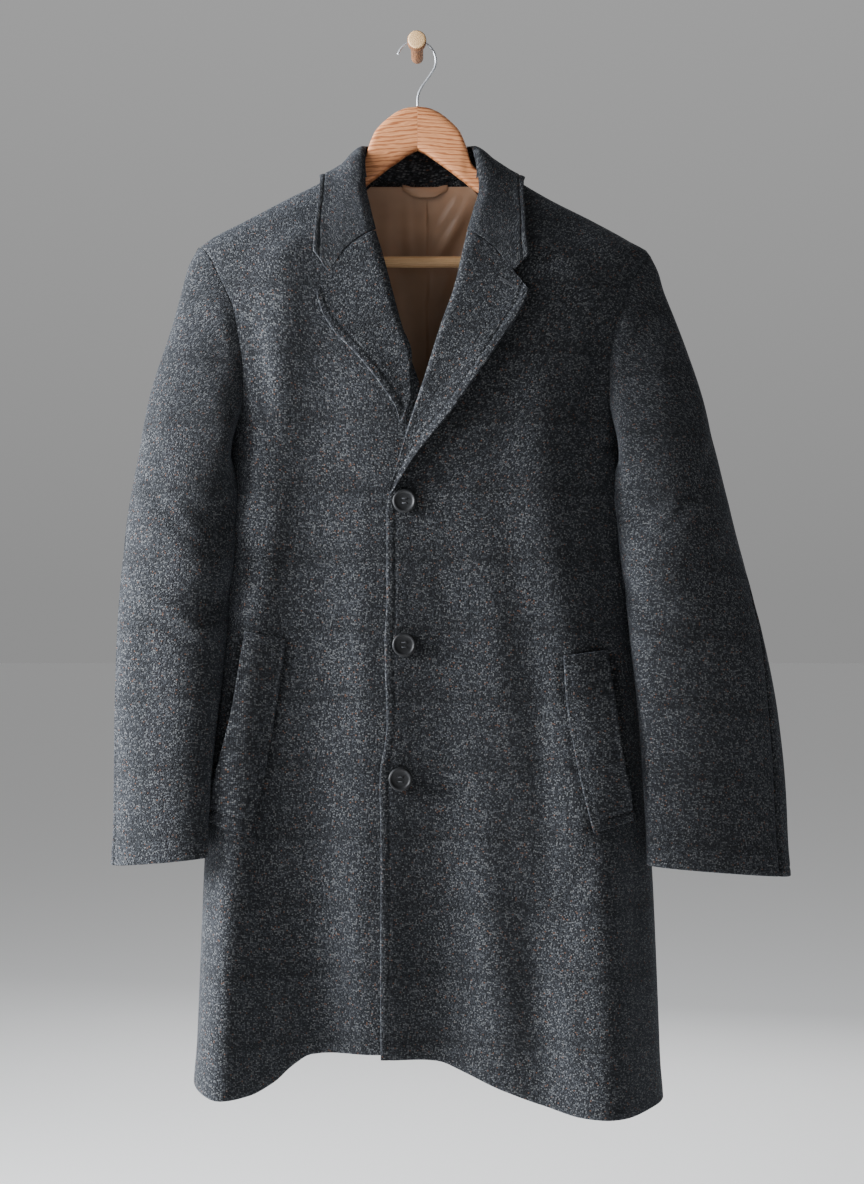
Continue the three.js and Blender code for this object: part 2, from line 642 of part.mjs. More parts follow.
function addWelt(wearer) {
  const line = WELT[wearer];
  const outer = WELT_ROWS.map((t) =>
    WELT_STEPS.map((s) => {
      const x = mix(line.closedX(t), line.openX(t), s);
      const z = mix(line.closedZ(t), line.openZ(t), s);
      return laidOn(x, z, CLOTH + WELT_GAP + WELT_GAPE[wearer].away(t) * s * s);
    }),
  );
  addMesh(`pocket_welt_${wearer}`, wallGeometry(outer, bodyInner(outer, CLOTH)), WOOL);
}

function toSolid(geometry) {
  const plain = geometry.clone();
  plain.deleteAttribute("normal");
  plain.deleteAttribute("uv");
  const merged = mergeVertices(plain, 1e-4);
  const vertProperties = new Float32Array(merged.attributes.position.array);
  const triVerts = new Uint32Array(merged.index.array);
  return new wasm.Manifold(new wasm.Mesh({ numProp: 3, vertProperties, triVerts }));
}

function toGeometry(solid) {
  const mesh = solid.getMesh();
  const geometry = new THREE.BufferGeometry();
  geometry.setAttribute("position", new THREE.Float32BufferAttribute(mesh.vertProperties, 3));
  geometry.setIndex([...mesh.triVerts]);
  return geometry;
}

// Half of a section through a turned piece: radius and height
const turned = (rows, sides) => new THREE.LatheGeometry(rows.map(([r, h]) => new THREE.Vector2(r, h)), sides);

const BUTTON_SECTION = [[0, 0], [9.4, 0], [12.5, 1.4], [12.1, 3.4], [10.8, 4], [9, 2.9], [0, 2.5]];

function buttonGeometry() {
  let solid = toSolid(turned(BUTTON_SECTION, 20));
  for (const [x, z] of [[1, 1], [1, -1], [-1, 1], [-1, -1]]) {
    const hole = new THREE.CylinderGeometry(BUTTON_HOLE_RADIUS, BUTTON_HOLE_RADIUS, 12, 8);
    hole.translate(x * BUTTON_HOLE_SPREAD, 0, z * BUTTON_HOLE_SPREAD);
    solid = solid.subtract(toSolid(hole));
  }
  return toGeometry(solid);
}

function addButtons() {
  const geometry = buttonGeometry();
  const up = new THREE.Vector3(0, 1, 0);
  for (const { name, x, z } of BUTTONS) {
    const base = surfacePoint(x, z, true);
    const out = steepest(base).out;
    const mesh = addMesh(name, geometry, HORN);
    mesh.quaternion.setFromUnitVectors(up, out);
    mesh.position.copy(base).addScaledVector(out, CLOTH + LAYER + BUTTON_SHANK);
  }
}

// Lining inside the back, seen through the neck, with its centre pleat
const LINING_ROWS = [-150, -164, -180, -200, -225, -255, -290, -330, -375, -420, -465];
const LINING_COLUMNS = 18;
const LINING_GAP = 1.2;
const PLEAT_X = 11;
const PLEAT_DEEP = 4;
const PLEAT_WIDE = 13;

function addLining() {
  const outer = LINING_ROWS.map((z) => {
    const reach = mix(0.52, 0.7, smooth(-150, -260, z));
    const s = section(z);
    const row = [];
    for (let i = 0; i <= LINING_COLUMNS; i += 1) {
      const x = s.middle + s.half * reach * (-1 + (2 * i) / LINING_COLUMNS);
      const p = surfacePoint(x, z, false);
      const pleat = PLEAT_DEEP * Math.exp(-(((x - PLEAT_X) / PLEAT_WIDE) ** 2)) * smooth(-155, -200, z);
      p.addScaledVector(steepest(p).out, -(CLOTH + LINING_GAP + pleat));
      row.push(p);
    }
    return row;
  });
  addMesh("lining_back", wallGeometry(outer, bodyInner(outer, LINING)), SATIN);
}

// Hang loop: a folded band of lining cloth that sags below the collar seam
const LOOP = table("t x y z", [
  [0, -14, -17.5, -146], [0.25, -6, -19.5, -149.5], [0.5, 8, -20.5, -151], [0.75, 22, -19.5, -149.5],
  [1, 31, -17.5, -146],
]);
const LOOP_ROWS = [0, 0.1, 0.2, 0.35, 0.5, 0.65, 0.8, 0.9, 1];
const LOOP_HALF_WIDE = 4.5;

function addHangLoop() {
  const outer = LOOP_ROWS.map((t) =>
    [-1, 1].map((side) => new THREE.Vector3(LOOP.x(t), LOOP.y(t), LOOP.z(t) + LOOP_HALF_WIDE * side)),
  );
  addMesh("hang_loop", wallGeometry(outer, gridInner(outer, LINING, 1)), SATIN);
}

// Hanger: two shaped halves that meet at the middle
const HANGER_Y = -38;
const HANGER_MIDDLE = 0.5;
// Sections of one half from the middle out: distance, top, bottom and half thickness
const ARM_SECTIONS = [
  [0.3, -63, -109, 9], [10, -64, -114, 9], [20, -67.5, -121, 9], [30, -74, -128, 9],
  [38, -81, -134, 9], [45, -89, -139.5, 9], [50, -99, -143, 8.5], [53, -108, -146, 8],
  [58, -124, -149.5, 8], [68, -133, -157, 8.5], [80, -141, -165, 8.5],
  [110, -157, -180, 8.5], [150, -178, -199, 8], [190, -199, -220, 7.5], [200, -206, -218, 6],
];
const ARM_SIDES = 12;
const ARM_SQUARE = 0.65;

function addHanger() {
  for (const [wearer, sign] of [["right", -1], ["left", 1]]) {
    const rings = ARM_SECTIONS.map(([away, top, bottom, thick]) => {
      const ring = [];
      for (let i = 0; i < ARM_SIDES; i += 1) {
        const turn = (2 * Math.PI * i) / ARM_SIDES;
        const y = HANGER_Y + thick * power(Math.cos(turn), ARM_SQUARE);
        const z = (top + bottom) / 2 + ((top - bottom) / 2) * power(Math.sin(turn), ARM_SQUARE);
        ring.push(new THREE.Vector3(HANGER_MIDDLE + sign * away, y, z));
      }
      return ring;
    });
    addMesh(`hanger_arm_${wearer}`, loftGeometry(rings), WOOD);
  }
  const bar = new THREE.CylinderGeometry(BAR_RADIUS, BAR_RADIUS, BAR_LENGTH, 12).rotateZ(Math.PI / 2);
  addMesh("hanger_bar", bar, WOOD).position.set(HANGER_MIDDLE, HANGER_Y, BAR_Z);
}

// Hook: an open round over the peg, then a stem with two bends down into the hanger
const HOOK_CENTRE = { x: -0.8, z: -12.4 };
const HOOK_RADIUS = 21;
const HOOK_Y = -36;
const STEM = [[10.5, -33], [4.6, -41.5], [1.2, -50], [0.5, -56], [0.5, -61.6]];

function addHook() {
  const route = [];
  for (let degrees = 160; degrees >= -40; degrees -= 20) {
    const turn = radians(degrees);
    const x = HOOK_CENTRE.x + HOOK_RADIUS * Math.cos(turn);
    route.push(new THREE.Vector3(x, HOOK_Y, HOOK_CENTRE.z + HOOK_RADIUS * Math.sin(turn)));
  }
  STEM.forEach(([x, z], i) => {
    route.push(new THREE.Vector3(x, mix(HOOK_Y, HANGER_Y, i / (STEM.length - 1)), z));
  });
  const disc = new THREE.Shape();
  disc.absarc(0, 0, WIRE / 2, 0, 2 * Math.PI, false);
  const extrudePath = new THREE.CatmullRomCurve3(route);
  const options = { steps: 34, extrudePath, bevelEnabled: false, curveSegments: 4 };
  addMesh("hanger_hook", new THREE.ExtrudeGeometry(disc, options), STEEL);
}

function addPeg() {
  const rows = [
    [0, 0], [6.5, 0], [6.6, 34], [6.6, 44], [7.4, 52], [9.4, 59], [10, 64], [10, 72.5],
    [9.2, PEG_LENGTH], [0, PEG_LENGTH],
  ];
  addMesh("wall_peg", turned(rows, 24).rotateX(Math.PI), WOOD);
}

addFront("left");
addFront("right");
addBack();
addSleeve("left");
addSleeve("right");
addCollar();
addLapel("left");
addLapel("right");
addWelt("left");
addWelt("right");
addButtons();
addLining();
addHangLoop();
addHanger();
addHook();
addPeg();

export default coat;
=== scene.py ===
# A wool overcoat buttoned on a wooden hanger that hangs from a round wall peg.
# Forms are worked out in millimetres in the frame's axes, with +Z up and the coat facing -Y.
# left and right in names are the wearer's, so the left front is on the +X side and lies on top.
import math
import bmesh
import bpy
import numpy as np
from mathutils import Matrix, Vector


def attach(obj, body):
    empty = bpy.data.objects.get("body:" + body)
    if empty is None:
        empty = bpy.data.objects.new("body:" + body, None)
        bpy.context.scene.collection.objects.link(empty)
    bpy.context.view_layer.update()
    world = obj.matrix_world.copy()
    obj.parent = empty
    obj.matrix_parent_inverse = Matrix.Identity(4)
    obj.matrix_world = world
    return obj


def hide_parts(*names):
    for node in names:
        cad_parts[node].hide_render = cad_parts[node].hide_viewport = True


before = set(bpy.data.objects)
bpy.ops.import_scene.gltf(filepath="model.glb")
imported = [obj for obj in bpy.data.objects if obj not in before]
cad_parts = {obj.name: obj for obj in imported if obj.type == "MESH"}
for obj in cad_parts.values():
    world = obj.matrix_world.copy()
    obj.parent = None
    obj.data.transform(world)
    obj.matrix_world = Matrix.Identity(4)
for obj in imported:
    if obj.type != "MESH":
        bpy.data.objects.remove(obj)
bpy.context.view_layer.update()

# Sizes in millimetres
MM = 0.001
CLOTH = 2.2
SEAM = 0.3
LAYER = 1.2
LINING = 0.9
WIRE = 2.7
BAR_RADIUS = 6.0
FREE_HEM = -900.0
LOW_HEM = -1108.0
NECK_POINT = -122.0
STITCH_INSET = 8.5
EDGE_EXTRA = 1.8
CREASE_DEPTH = 1.5


def camera():
    """The photograph's view: level, 2.2 m in front of the wall, 2015 px long in a 1184 px frame."""
    data = bpy.data.cameras.new("camera")
    data.sensor_fit = "VERTICAL"
    data.sensor_height = 36.0
    data.lens = 36.0 * 2015 / 1184
    eye = bpy.data.objects.new("camera", data)
    eye.location = (0.016, -2.2, -0.583)
    eye.rotation_euler = (math.radians(90), 0, 0)
    bpy.context.scene.collection.objects.link(eye)
    bpy.context.scene.camera = eye


camera()


def smooth(low, high, value):
    u = np.clip((np.asarray(value, float) - low) / (high - low), 0, 1)
    return u * u * (3 - 2 * u)


def mix(a, b, u):
    return a + (b - a) * u


def power(value, n):
    return np.sign(value) * np.abs(value) ** n


def unit(v):
    return v / np.maximum(np.linalg.norm(v, axis=-1, keepdims=True), 1e-12)


class Table:
    """Smooth columns over a first one: Table("z left", rows).left(z)."""

    def __init__(self, names, rows):
        rows = np.array(sorted(rows), float)
        self.keys = rows[:, 0]
        for i, name in enumerate(names.split()[1:]):
            setattr(self, name, self.column(rows[:, i + 1]))

    def column(self, values):
        keys = self.keys
        gaps = np.diff(keys)
        steps = np.diff(values) / gaps
        a, b = steps[:-1], steps[1:]
        inner = np.where(a * b > 0, 2 * a * b / np.where(a + b == 0, 1, a + b), 0)
        slopes = np.concatenate([steps[:1], inner, steps[-1:]])

        def read(key):
            at = np.clip(np.asarray(key, float), keys[0], keys[-1])
            i = np.clip(np.searchsorted(keys, at) - 1, 0, len(gaps) - 1)
            h = gaps[i]
            u = (at - keys[i]) / h
            rise = values[i + 1] - values[i]
            start, end = slopes[i] * h, slopes[i + 1] * h
            return values[i] + start * u + (3 * rise - 2 * start - end) * u**2 + (start + end - 2 * rise) * u**3

        return read


# The coat's level sections: where each side, the front and the back lie, and how square they are
BODY = Table("z left right side front back square", [
    [-100, -29, 41.5, -38, -45.5, -18.1, 2.0],
    [-122, -66, 76, -38, -56, -15, 2.0],
    [-143, -101, 109, -38, -66, -12, 2.0],
    [-163, -141, 143, -38, -76, -10, 2.0],
    [-187, -186, 190, -38, -88, -9, 2.1],
    [-208, -224, 227, -39, -96, -8.5, 2.3],
    [-223, -238, 249, -40, -101, -8, 2.4],
    [-260, -230, 242, -43, -109, -8, 2.6],
    [-310, -216, 231, -47, -116, -8, 2.8],
    [-370, -205, 222, -50, -121, -8, 3.0],
    [-434, -201, 219, -52, -124, -8, 3.0],
    [-600, -210, 229, -54, -124, -9, 3.0],
    [-869, -225, 249, -56, -119, -11, 3.0],
    [-1000, -230, 255, -58, -114, -13, 3.0],
    [-1130, -235, 260, -60, -108, -15, 3.0],
])

# Large folds: a height above zero is a ridge, below zero a trough
FRONT_FOLDS = [
    Table("z x height width", [
        [-150, -130, 0, 24], [-281, -141, 5, 24], [-385, -153, 7, 26], [-581, -176, 9, 27],
        [-695, -186, 12, 28], [-860, -197, 20, 30], [-1004, -203, 29, 32], [-1100, -205, 34, 34],
    ]),
    Table("z x height width", [
        [-200, -90, 0, 30], [-330, -98, -4, 34], [-560, -104, -8, 38], [-800, -106, -14, 40],
        [-960, -106, -22, 42], [-1060, -105, -29, 44],
    ]),
    Table("z x height width", [
        [-230, 128, 0, 24], [-364, 122, 5, 28], [-509, 133, 8, 32], [-643, 160, 11, 38],
        [-798, 182, 18, 42], [-952, 194, 28, 44], [-1120, 198, 38, 46],
    ]),
    Table("z x height width", [
        [-470, 30, 0, 36], [-640, 28, -5, 40], [-800, 26, -10, 44], [-960, 24, -18, 48],
        [-1070, 22, -26, 52],
    ]),
]
BACK_FOLDS = [
    Table("z x height width", [[-300, -150, 0, 26], [-600, -158, -3, 30], [-1100, -165, -8, 34]]),
    Table("z x height width", [[-260, 52, 0, 28], [-620, 58, -3, 32], [-1100, 66, -9, 36]]),
]

# Smaller creases, each from one point to another, with its width and its height at the middle
CREASE_COLUMNS = ("x0", "z0", "x1", "z1", "width", "height")
FRONT_CREASES = [
    (-78, -168, -196, -232, 17, -2.2),
    (84, -166, 208, -238, 18, -2.4),
    (-120, -205, -168, -262, 12, 1.6),
    (132, -214, 186, -268, 13, 1.6),
    (-172, -292, -150, -430, 12, -3.0),
    (192, -300, 176, -452, 13, -3.0),
    (-12, -490, -92, -452, 10, -1.8),
    (-8, -488, 96, -420, 13, -2.4),
    (24, -452, 104, -372, 12, 1.8),
    (-13, -637, -86, -616, 11, -1.6),
    (-10, -640, 84, -606, 13, -2.0),
    (-17, -778, 70, -792, 12, -1.8),
    (-16, -776, -88, -790, 12, -1.6),
    (-60, -520, -56, -760, 15, 2.0),
    (-66, -800, -62, -1050, 17, 2.6),
    (-140, -480, -168, -640, 14, 2.4),
    (-150, -700, -160, -980, 13, -2.6),
    (70, -520, 92, -720, 18, 2.2),
    (64, -790, 88, -1080, 20, 3.2),
    (118, -640, 142, -900, 15, -2.6),
    (118, -930, 132, -1112, 17, -3.2),
    (196, -560, 222, -620, 11, -2.6),
    (202, -630, 226, -560, 9, 1.6),
    (182, -834, 150, -930, 12, -2.4),
    (224, -830, 232, -1000, 12, -2.6),
    (-206, -850, -218, -1000, 9, -2.2),
    (-30, -900, -24, -1064, 12, 1.6),
    (20, -560, 34, -600, 9, -1.2),
    (150, -960, 168, -1118, 12, 2.2),
    (-132, -980, -128, -1076, 9, 1.8),
]
BACK_CREASES = [
    (-150, -236, 140, -230, 15, -2.4),
    (-40, -190, -120, -262, 12, 1.8),
    (52, -188, 130, -256, 13, 1.8),
    (-176, -330, -120, -520, 16, -2.8),
    (190, -340, 136, -540, 17, -2.8),
    (-90, -420, -96, -760, 20, 2.2),
    (96, -400, 106, -800, 22, 2.4),
    (4, -620, -2, -1070, 16, -2.2),
    (-60, -820, -70, -1078, 17, 3.4),
    (120, -840, 132, -1088, 18, 3.6),
    (180, -700, 196, -1096, 14, -2.6),
    (-112, -900, -118, -1082, 12, -2.4),
    (30, -940, 34, -1076, 11, 1.8),
    (-190, -560, -150, -620, 10, -1.8),
    (204, -560, 160, -640, 10, -1.8),
]

TIP = {"right": -214, "left": -223}
UNDERARM = {"right": -432, "left": -436}
ARMHOLE = {
    "right": Table("z front back", [
        [-214, -234, -234], [-222, -224, -226], [-255, -206.5, -212], [-283, -193.6, -203],
        [-314, -187, -197], [-346, -182, -194], [-379, -181, -194], [-410, -188, -196], [-432, -201, -201],
    ]),
    "left": Table("z front back", [
        [-223, 249, 249], [-232, 241, 242], [-264, 224, 229], [-298, 211, 219],
        [-335, 203, 211], [-380, 201, 209], [-412, 207, 211], [-436, 219, 219],
    ]),
}
FRONT_EDGE = {
    "right": Table("z x", [
        [-122, -63], [-152, -58], [-177, -52], [-207, -45], [-230, -37], [-272, -27], [-306, -18],
        [-339, -7], [-367, 2.7], [-420, 12], [-480, 25], [-520, 24], [-1108, 20],
    ]),
    "left": Table("z x", [
        [-122, 72], [-156, 68.5], [-192, 60], [-209, 55.5], [-231, 50], [-265, 43], [-301, 30.5],
        [-363, 10.7], [-384, 8.4], [-413, -5.4], [-442, -12], [-481, -27.4], [-492, -30.4],
        [-591, -30.6], [-639, -32.7], [-720, -30.6], [-778, -38], [-840, -37], [-1074, -37.5],
    ]),
}
HEM = {
    "right": Table("x z", [
        [-234, -1099], [-205, -1107], [-175, -1105], [-150, -1095], [-130, -1079], [-110, -1069],
        [-60, -1065.5], [20, -1066],
    ]),
    "left": Table("x z", [
        [-38, -1070], [20, -1074], [50, -1084], [90, -1101], [130, -1115], [170, -1123], [215, -1124],
        [259, -1117],
    ]),
    "back": Table("x z", [[-234, -1098], [-150, -1086], [10, -1076], [160, -1094], [259, -1116]]),
}
BUTTONS = {"button_1": (-12, -489.4), "button_2": (-13, -637), "button_3": (-17, -775.3)}


def crease_height(creases, x, z):
    total = np.zeros(np.broadcast(x, z).shape)
    for row in creases:
        c = dict(zip(CREASE_COLUMNS, row))
        run_x, run_z = c["x1"] - c["x0"], c["z1"] - c["z0"]
        length = math.hypot(run_x, run_z)
        along = ((x - c["x0"]) * run_x + (z - c["z0"]) * run_z) / length**2
        across = ((x - c["x0"]) * run_z - (z - c["z0"]) * run_x) / length
        ends = np.clip(along, 0, 1)
        past = (along - ends) * length
        taper = 0.25 + 0.75 * np.sin(np.pi * ends)
        total = total + c["height"] * taper * np.exp(-((across / c["width"]) ** 2) - (past / (2 * c["width"])) ** 2)
    return total


def fold_height(front, x, z):
    folds = FRONT_FOLDS if front else BACK_FOLDS
    total = CREASE_DEPTH * crease_height(FRONT_CREASES if front else BACK_CREASES, x, z)
    for fold in folds:
        total = total + fold.height(z) * np.exp(-(((x - fold.x(z)) / fold.width(z)) ** 2))
    return total


def section(z):
    left, right, side = BODY.left(z), BODY.right(z), BODY.side(z)
    return dict(middle=(left + right) / 2, half=(right - left) / 2, side=side, front=side - BODY.front(z),
                back=BODY.back(z) - side, square=BODY.square(z))


def outsideness(p):
    """Zero on the coat's outer surface, above zero outside it."""
    x, y, z = p[..., 0], p[..., 1], p[..., 2]
    s = section(z)
    front = y < s["side"]
    depth = np.where(front, s["front"], s["back"])
    away = np.abs(y - s["side"])
    fold = np.where(front, fold_height(True, x, z), fold_height(False, x, z))
    plain = np.maximum(away - fold * smooth(0, 0.5, away / depth), 0)
    across = np.abs(x - s["middle"]) / s["half"]
    return (across ** s["square"] + (plain / depth) ** s["square"]) ** (1 / s["square"]) - 1


def steepest(p):
    d = 0.5
    slope = np.zeros(p.shape)
    for axis in range(3):
        step = np.zeros(3)
        step[axis] = d
        slope[..., axis] = outsideness(p + step) - outsideness(p - step)
    rate = np.linalg.norm(slope, axis=-1) / (2 * d)
    return unit(slope), rate


def keep_clear(p, gap):
    """Moves points out of the coat until they are at least gap away from its outer surface."""
    for _ in range(6):
        out, rate = steepest(p)
        missing = np.maximum(gap - outsideness(p) / rate, 0)
        p = p + out * missing[..., None]
    return p


def depth_at(s, x, z, front):
    across = np.minimum(np.abs(x - s["middle"]) / s["half"], 1)
    share = (1 - across ** s["square"]) ** (1 / s["square"])
    away = share * s["front" if front else "back"] + fold_height(front, x, z) * smooth(0, 0.5, share)
    return s["side"] - away if front else s["side"] + away


def surface(x, z, front=True):
    x, z = np.broadcast_arrays(np.asarray(x, float), np.asarray(z, float))
    return np.stack([x, depth_at(section(z), x, z, front), z], -1)


def laid_on(x, z, away):
    p = surface(x, z)
    return p + steepest(p)[0] * np.asarray(away)[..., None]


def overlap(x, z):
    return (CLOTH + LAYER) * (1 - smooth(50, 120, x)) * (1 - smooth(-345, -265, z))


def with_lips(values, first, last=None):
    """The same steps with one more close to each end, so that rounded edges stay narrow."""
    last = first if last is None else last
    return np.unique(np.concatenate([values, [values[0] + first, values[-1] - last]]))


def panel_rows(levels, start, end, near, far_count, front, hem):
    """Level rows of a panel in steps along the cloth. near lists distances from its first edge."""
    fine = np.linspace(0, 1, 260)
    grid = []
    runs = []
    for level in levels:
        s = section(level)
        ends = [np.arccos(power(np.clip((x - s["middle"]) / s["half"], -1, 1), s["square"] / 2))
                for x in (start(level), end(level))]
        x = s["middle"] + s["half"] * power(np.cos(mix(ends[0], ends[1], fine)), 2 / s["square"])
        z = np.full(x.shape, float(level))
        if level < FREE_HEM:
            z = mix(FREE_HEM, hem(x), (level - FREE_HEM) / (LOW_HEM - FREE_HEM))
        points = np.stack([x, depth_at(s, x, z, front), z], -1)
        run = np.concatenate([[0], np.cumsum(np.linalg.norm(np.diff(points, axis=0), axis=1))])
        rest = np.linspace(near[-1], max(run[-1] - SEAM / 2 - 0.8, near[-1] + 0.1), far_count)[1:]
        along = np.concatenate([near + SEAM / 2, rest, [run[-1] - SEAM / 2]])
        along = np.minimum.accumulate(np.clip(along, 0, run[-1] - SEAM / 2)[::-1])[::-1]
        grid.append(np.stack([np.interp(along, run, points[:, k]) for k in range(3)], -1))
        runs.append(along)
    return np.array(grid), np.array(runs)


def grid_normals(grid, toward):
    """Normals of a grid of points, turned to the side that toward points to."""
    out = unit(np.cross(np.gradient(grid, axis=0), np.gradient(grid, axis=1)))
    return out if np.sum(out * toward) > 0 else -out


def arc_uv(grid, column, row):
    """Lengths along the cloth from one column and one row of its grid."""
    across = np.cumsum(np.linalg.norm(np.diff(grid, axis=1, prepend=grid[:, :1]), axis=-1), axis=1)
    along = np.cumsum(np.linalg.norm(np.diff(grid, axis=0, prepend=grid[:1]), axis=-1), axis=0)
    return np.stack([across - across[:, column:column + 1], along[row][None] - along], -1)


def make_object(name, points, faces, material, uvs=None, flat=False):
    mesh = bpy.data.meshes.new(name)
    mesh.from_pydata((np.asarray(points) * MM).tolist(), [], faces)
    if uvs is not None:
        layer = mesh.uv_layers.new(name="cloth")
        corners = np.zeros(len(mesh.loops), int)
        mesh.loops.foreach_get("vertex_index", corners)
        layer.uv.foreach_set("vector", (np.asarray(uvs)[corners] * MM).astype(np.float32).ravel())
    mesh.validate()
    mesh.shade_flat() if flat else mesh.shade_smooth()
    mesh.materials.append(material)
    made = bpy.data.objects.new(name, mesh)
    bpy.context.scene.collection.objects.link(made)
    return made


def turn_out(made):
    """Faces all point out of a closed piece."""
    work = bmesh.new()
    work.from_mesh(made.data)
    bmesh.ops.recalc_face_normals(work, faces=work.faces)
    work.to_mesh(made.data)
    work.free()
    return made


def shell(name, outer, out, thick, material, uv):
    """A closed wall under a grid of points, with a rounded lip all round."""
    rows, cols = outer.shape[:2]
    thick = np.broadcast_to(np.asarray(thick, float), (rows, cols))
    inner = outer - out * thick[..., None]
    loop = [(0, c) for c in range(cols)] + [(r, cols - 1) for r in range(1, rows)]
    loop += [(rows - 1, c) for c in range(cols - 2, -1, -1)] + [(r, 0) for r in range(rows - 2, 0, -1)]
    lips = []
    for r, c in loop:
        inward = outer[min(max(r, 1), rows - 2), min(max(c, 1), cols - 2)]
        lips.append((outer[r, c] + inner[r, c]) / 2 + unit(outer[r, c] - inward) * abs(thick[r, c]) * 0.12)
    outer, inner = outer.copy(), inner.copy()
    for r, c in loop:
        outer[r, c] -= out[r, c] * thick[r, c] * 0.14
        inner[r, c] += out[r, c] * thick[r, c] * 0.14
    index = np.arange(rows * cols).reshape(rows, cols)
    size = rows * cols
    quads = np.stack([index[:-1, :-1], index[:-1, 1:], index[1:, 1:], index[1:, :-1]], -1).reshape(-1, 4)
    faces = quads.tolist() + (quads[:, ::-1] + size).tolist()
    for k, (r, c) in enumerate(loop):
        r2, c2 = loop[(k + 1) % len(loop)]
        a, b = index[r, c], index[r2, c2]
        m, n = 2 * size + k, 2 * size + (k + 1) % len(loop)
        faces += [[int(b), int(a), m, n], [n, m, int(a) + size, int(b) + size]]
    flat_uv = uv.reshape(-1, 2)
    points = np.concatenate([outer.reshape(-1, 3), inner.reshape(-1, 3), np.array(lips)])
    uvs = np.concatenate([flat_uv, flat_uv, np.array([uv[r, c] for r, c in loop])])
    return turn_out(make_object(name, points, faces, material, uvs))


def loft(name, rings, material, uvs=None):
    """A solid through closed rings, with flat ends."""
    rings = np.asarray(rings)
    count, sides = rings.shape[:2]
    faces = []
    for r in range(count - 1):
        for i in range(sides):
            j = (i + 1) % sides
            faces.append([r * sides + i, r * sides + j, (r + 1) * sides + j, (r + 1) * sides + i])
    faces.append(list(range(sides))[::-1])
    faces.append([(count - 1) * sides + i for i in range(sides)])
    return turn_out(make_object(name, rings.reshape(-1, 3), faces, material, uvs))


def tube(name, path, radius, material, sides=14):
    """A round bar along a smooth path of points, with rounded ends."""
    path = np.asarray(path, float)
    tangents = unit(np.gradient(path, axis=0))
    side = np.cross(tangents, np.array([0.0, 1.0, 0.0]))
    side = np.where(np.linalg.norm(side, axis=-1, keepdims=True) < 1e-3, [0.0, 0.0, 1.0], side)
    side = unit(side)
    up = np.cross(tangents, side)
    turns = np.linspace(0, 2 * np.pi, sides, endpoint=False)
    sizes = np.full(len(path), float(radius))
    rings = [p + r * (np.cos(turns)[:, None] * s + np.sin(turns)[:, None] * u)
             for p, r, s, u in zip(path, sizes, side, up)]
    for end, inner in ((0, 1), (-1, -2)):
        lean = unit(path[end] - path[inner])
        cap = [rings[end] * (1 - k) + path[end] * k + lean * radius * math.sin(k * 1.4) * 0.6 for k in (0.35, 0.75)]
        rings = cap[::-1] + rings if end == 0 else rings + cap
    return loft(name, rings, material)


def smooth_path(points, count):
    """Evenly spaced points on a smooth curve through the given ones."""
    points = np.asarray(points, float)
    run = np.concatenate([[0], np.cumsum(np.linalg.norm(np.diff(points, axis=0), axis=1))])
    rows = np.column_stack([run, points])
    curve = Table("run x y z", rows.tolist())
    at = np.linspace(0, run[-1], count)
    return np.stack([curve.x(at), curve.y(at), curve.z(at)], -1)


# Materials

def new_material(name, **sockets):
    material = bpy.data.materials.new(name)
    material.use_nodes = True
    shader = material.node_tree.nodes["Principled BSDF"]
    for socket, value in sockets.items():
        shader.inputs[socket.replace("_", " ")].default_value = value
    return material, material.node_tree.nodes, material.node_tree.links, shader


def node(nodes, kind, **values):
    made = nodes.new(kind)
    for key, value in values.items():
        if hasattr(made, key):
            setattr(made, key, value)
        else:
            made.inputs[key.replace("_", " ")].default_value = value
    return made


def ramp(nodes, stops):
    made = nodes.new("ShaderNodeValToRGB")
    elements = made.color_ramp.elements
    while len(elements) > 1:
        elements.remove(elements[-1])
    for i, (at, colour) in enumerate(stops):
        element = elements[0] if i == 0 else elements.new(at)
        element.position = at
        element.color = colour if len(colour) == 4 else (*colour, 1)
    return made


def arithmetic(nodes, links, operation, a, b=None, clamp=False):
    made = nodes.new("ShaderNodeMath")
    made.operation = operation
    made.use_clamp = clamp
    for socket, value in zip(made.inputs, (a, b)):
        if isinstance(value, (int, float)):
            socket.default_value = value
        elif value is not None:
            links.new(value, socket)
    return made.outputs[0]


def blend_colours(nodes, links, kind, factor, a, b):
    made = nodes.new("ShaderNodeMix")
    made.data_type = "RGBA"
    made.blend_type = kind
    for socket, value in ((made.inputs[0], factor), (made.inputs[6], a), (made.inputs[7], b)):
        if isinstance(value, (int, float)):
            socket.default_value = value
        elif isinstance(value, tuple):
            socket.default_value = (*value, 1)
        else:
            links.new(value, socket)
    return made.outputs[2]


def bump(nodes, links, shader, height, strength, distance):
    made = nodes.new("ShaderNodeBump")
    made.inputs["Strength"].default_value = strength
    made.inputs["Distance"].default_value = distance
    links.new(height, made.inputs["Height"])
    links.new(made.outputs[0], shader.inputs["Normal"])


# Tweed colours: near-black ground, blue-grey and pale flecks, a few rust ones
GROUND = (0.0058, 0.0061, 0.0072)
DIM_FLECK = (0.0155, 0.0166, 0.0190)
BLUE_FLECK = (0.042, 0.0455, 0.051)
PALE_FLECK = (0.102, 0.105, 0.106)
RUST_FLECK = (0.098, 0.046, 0.026)
FLECK_PITCH = 0.0016


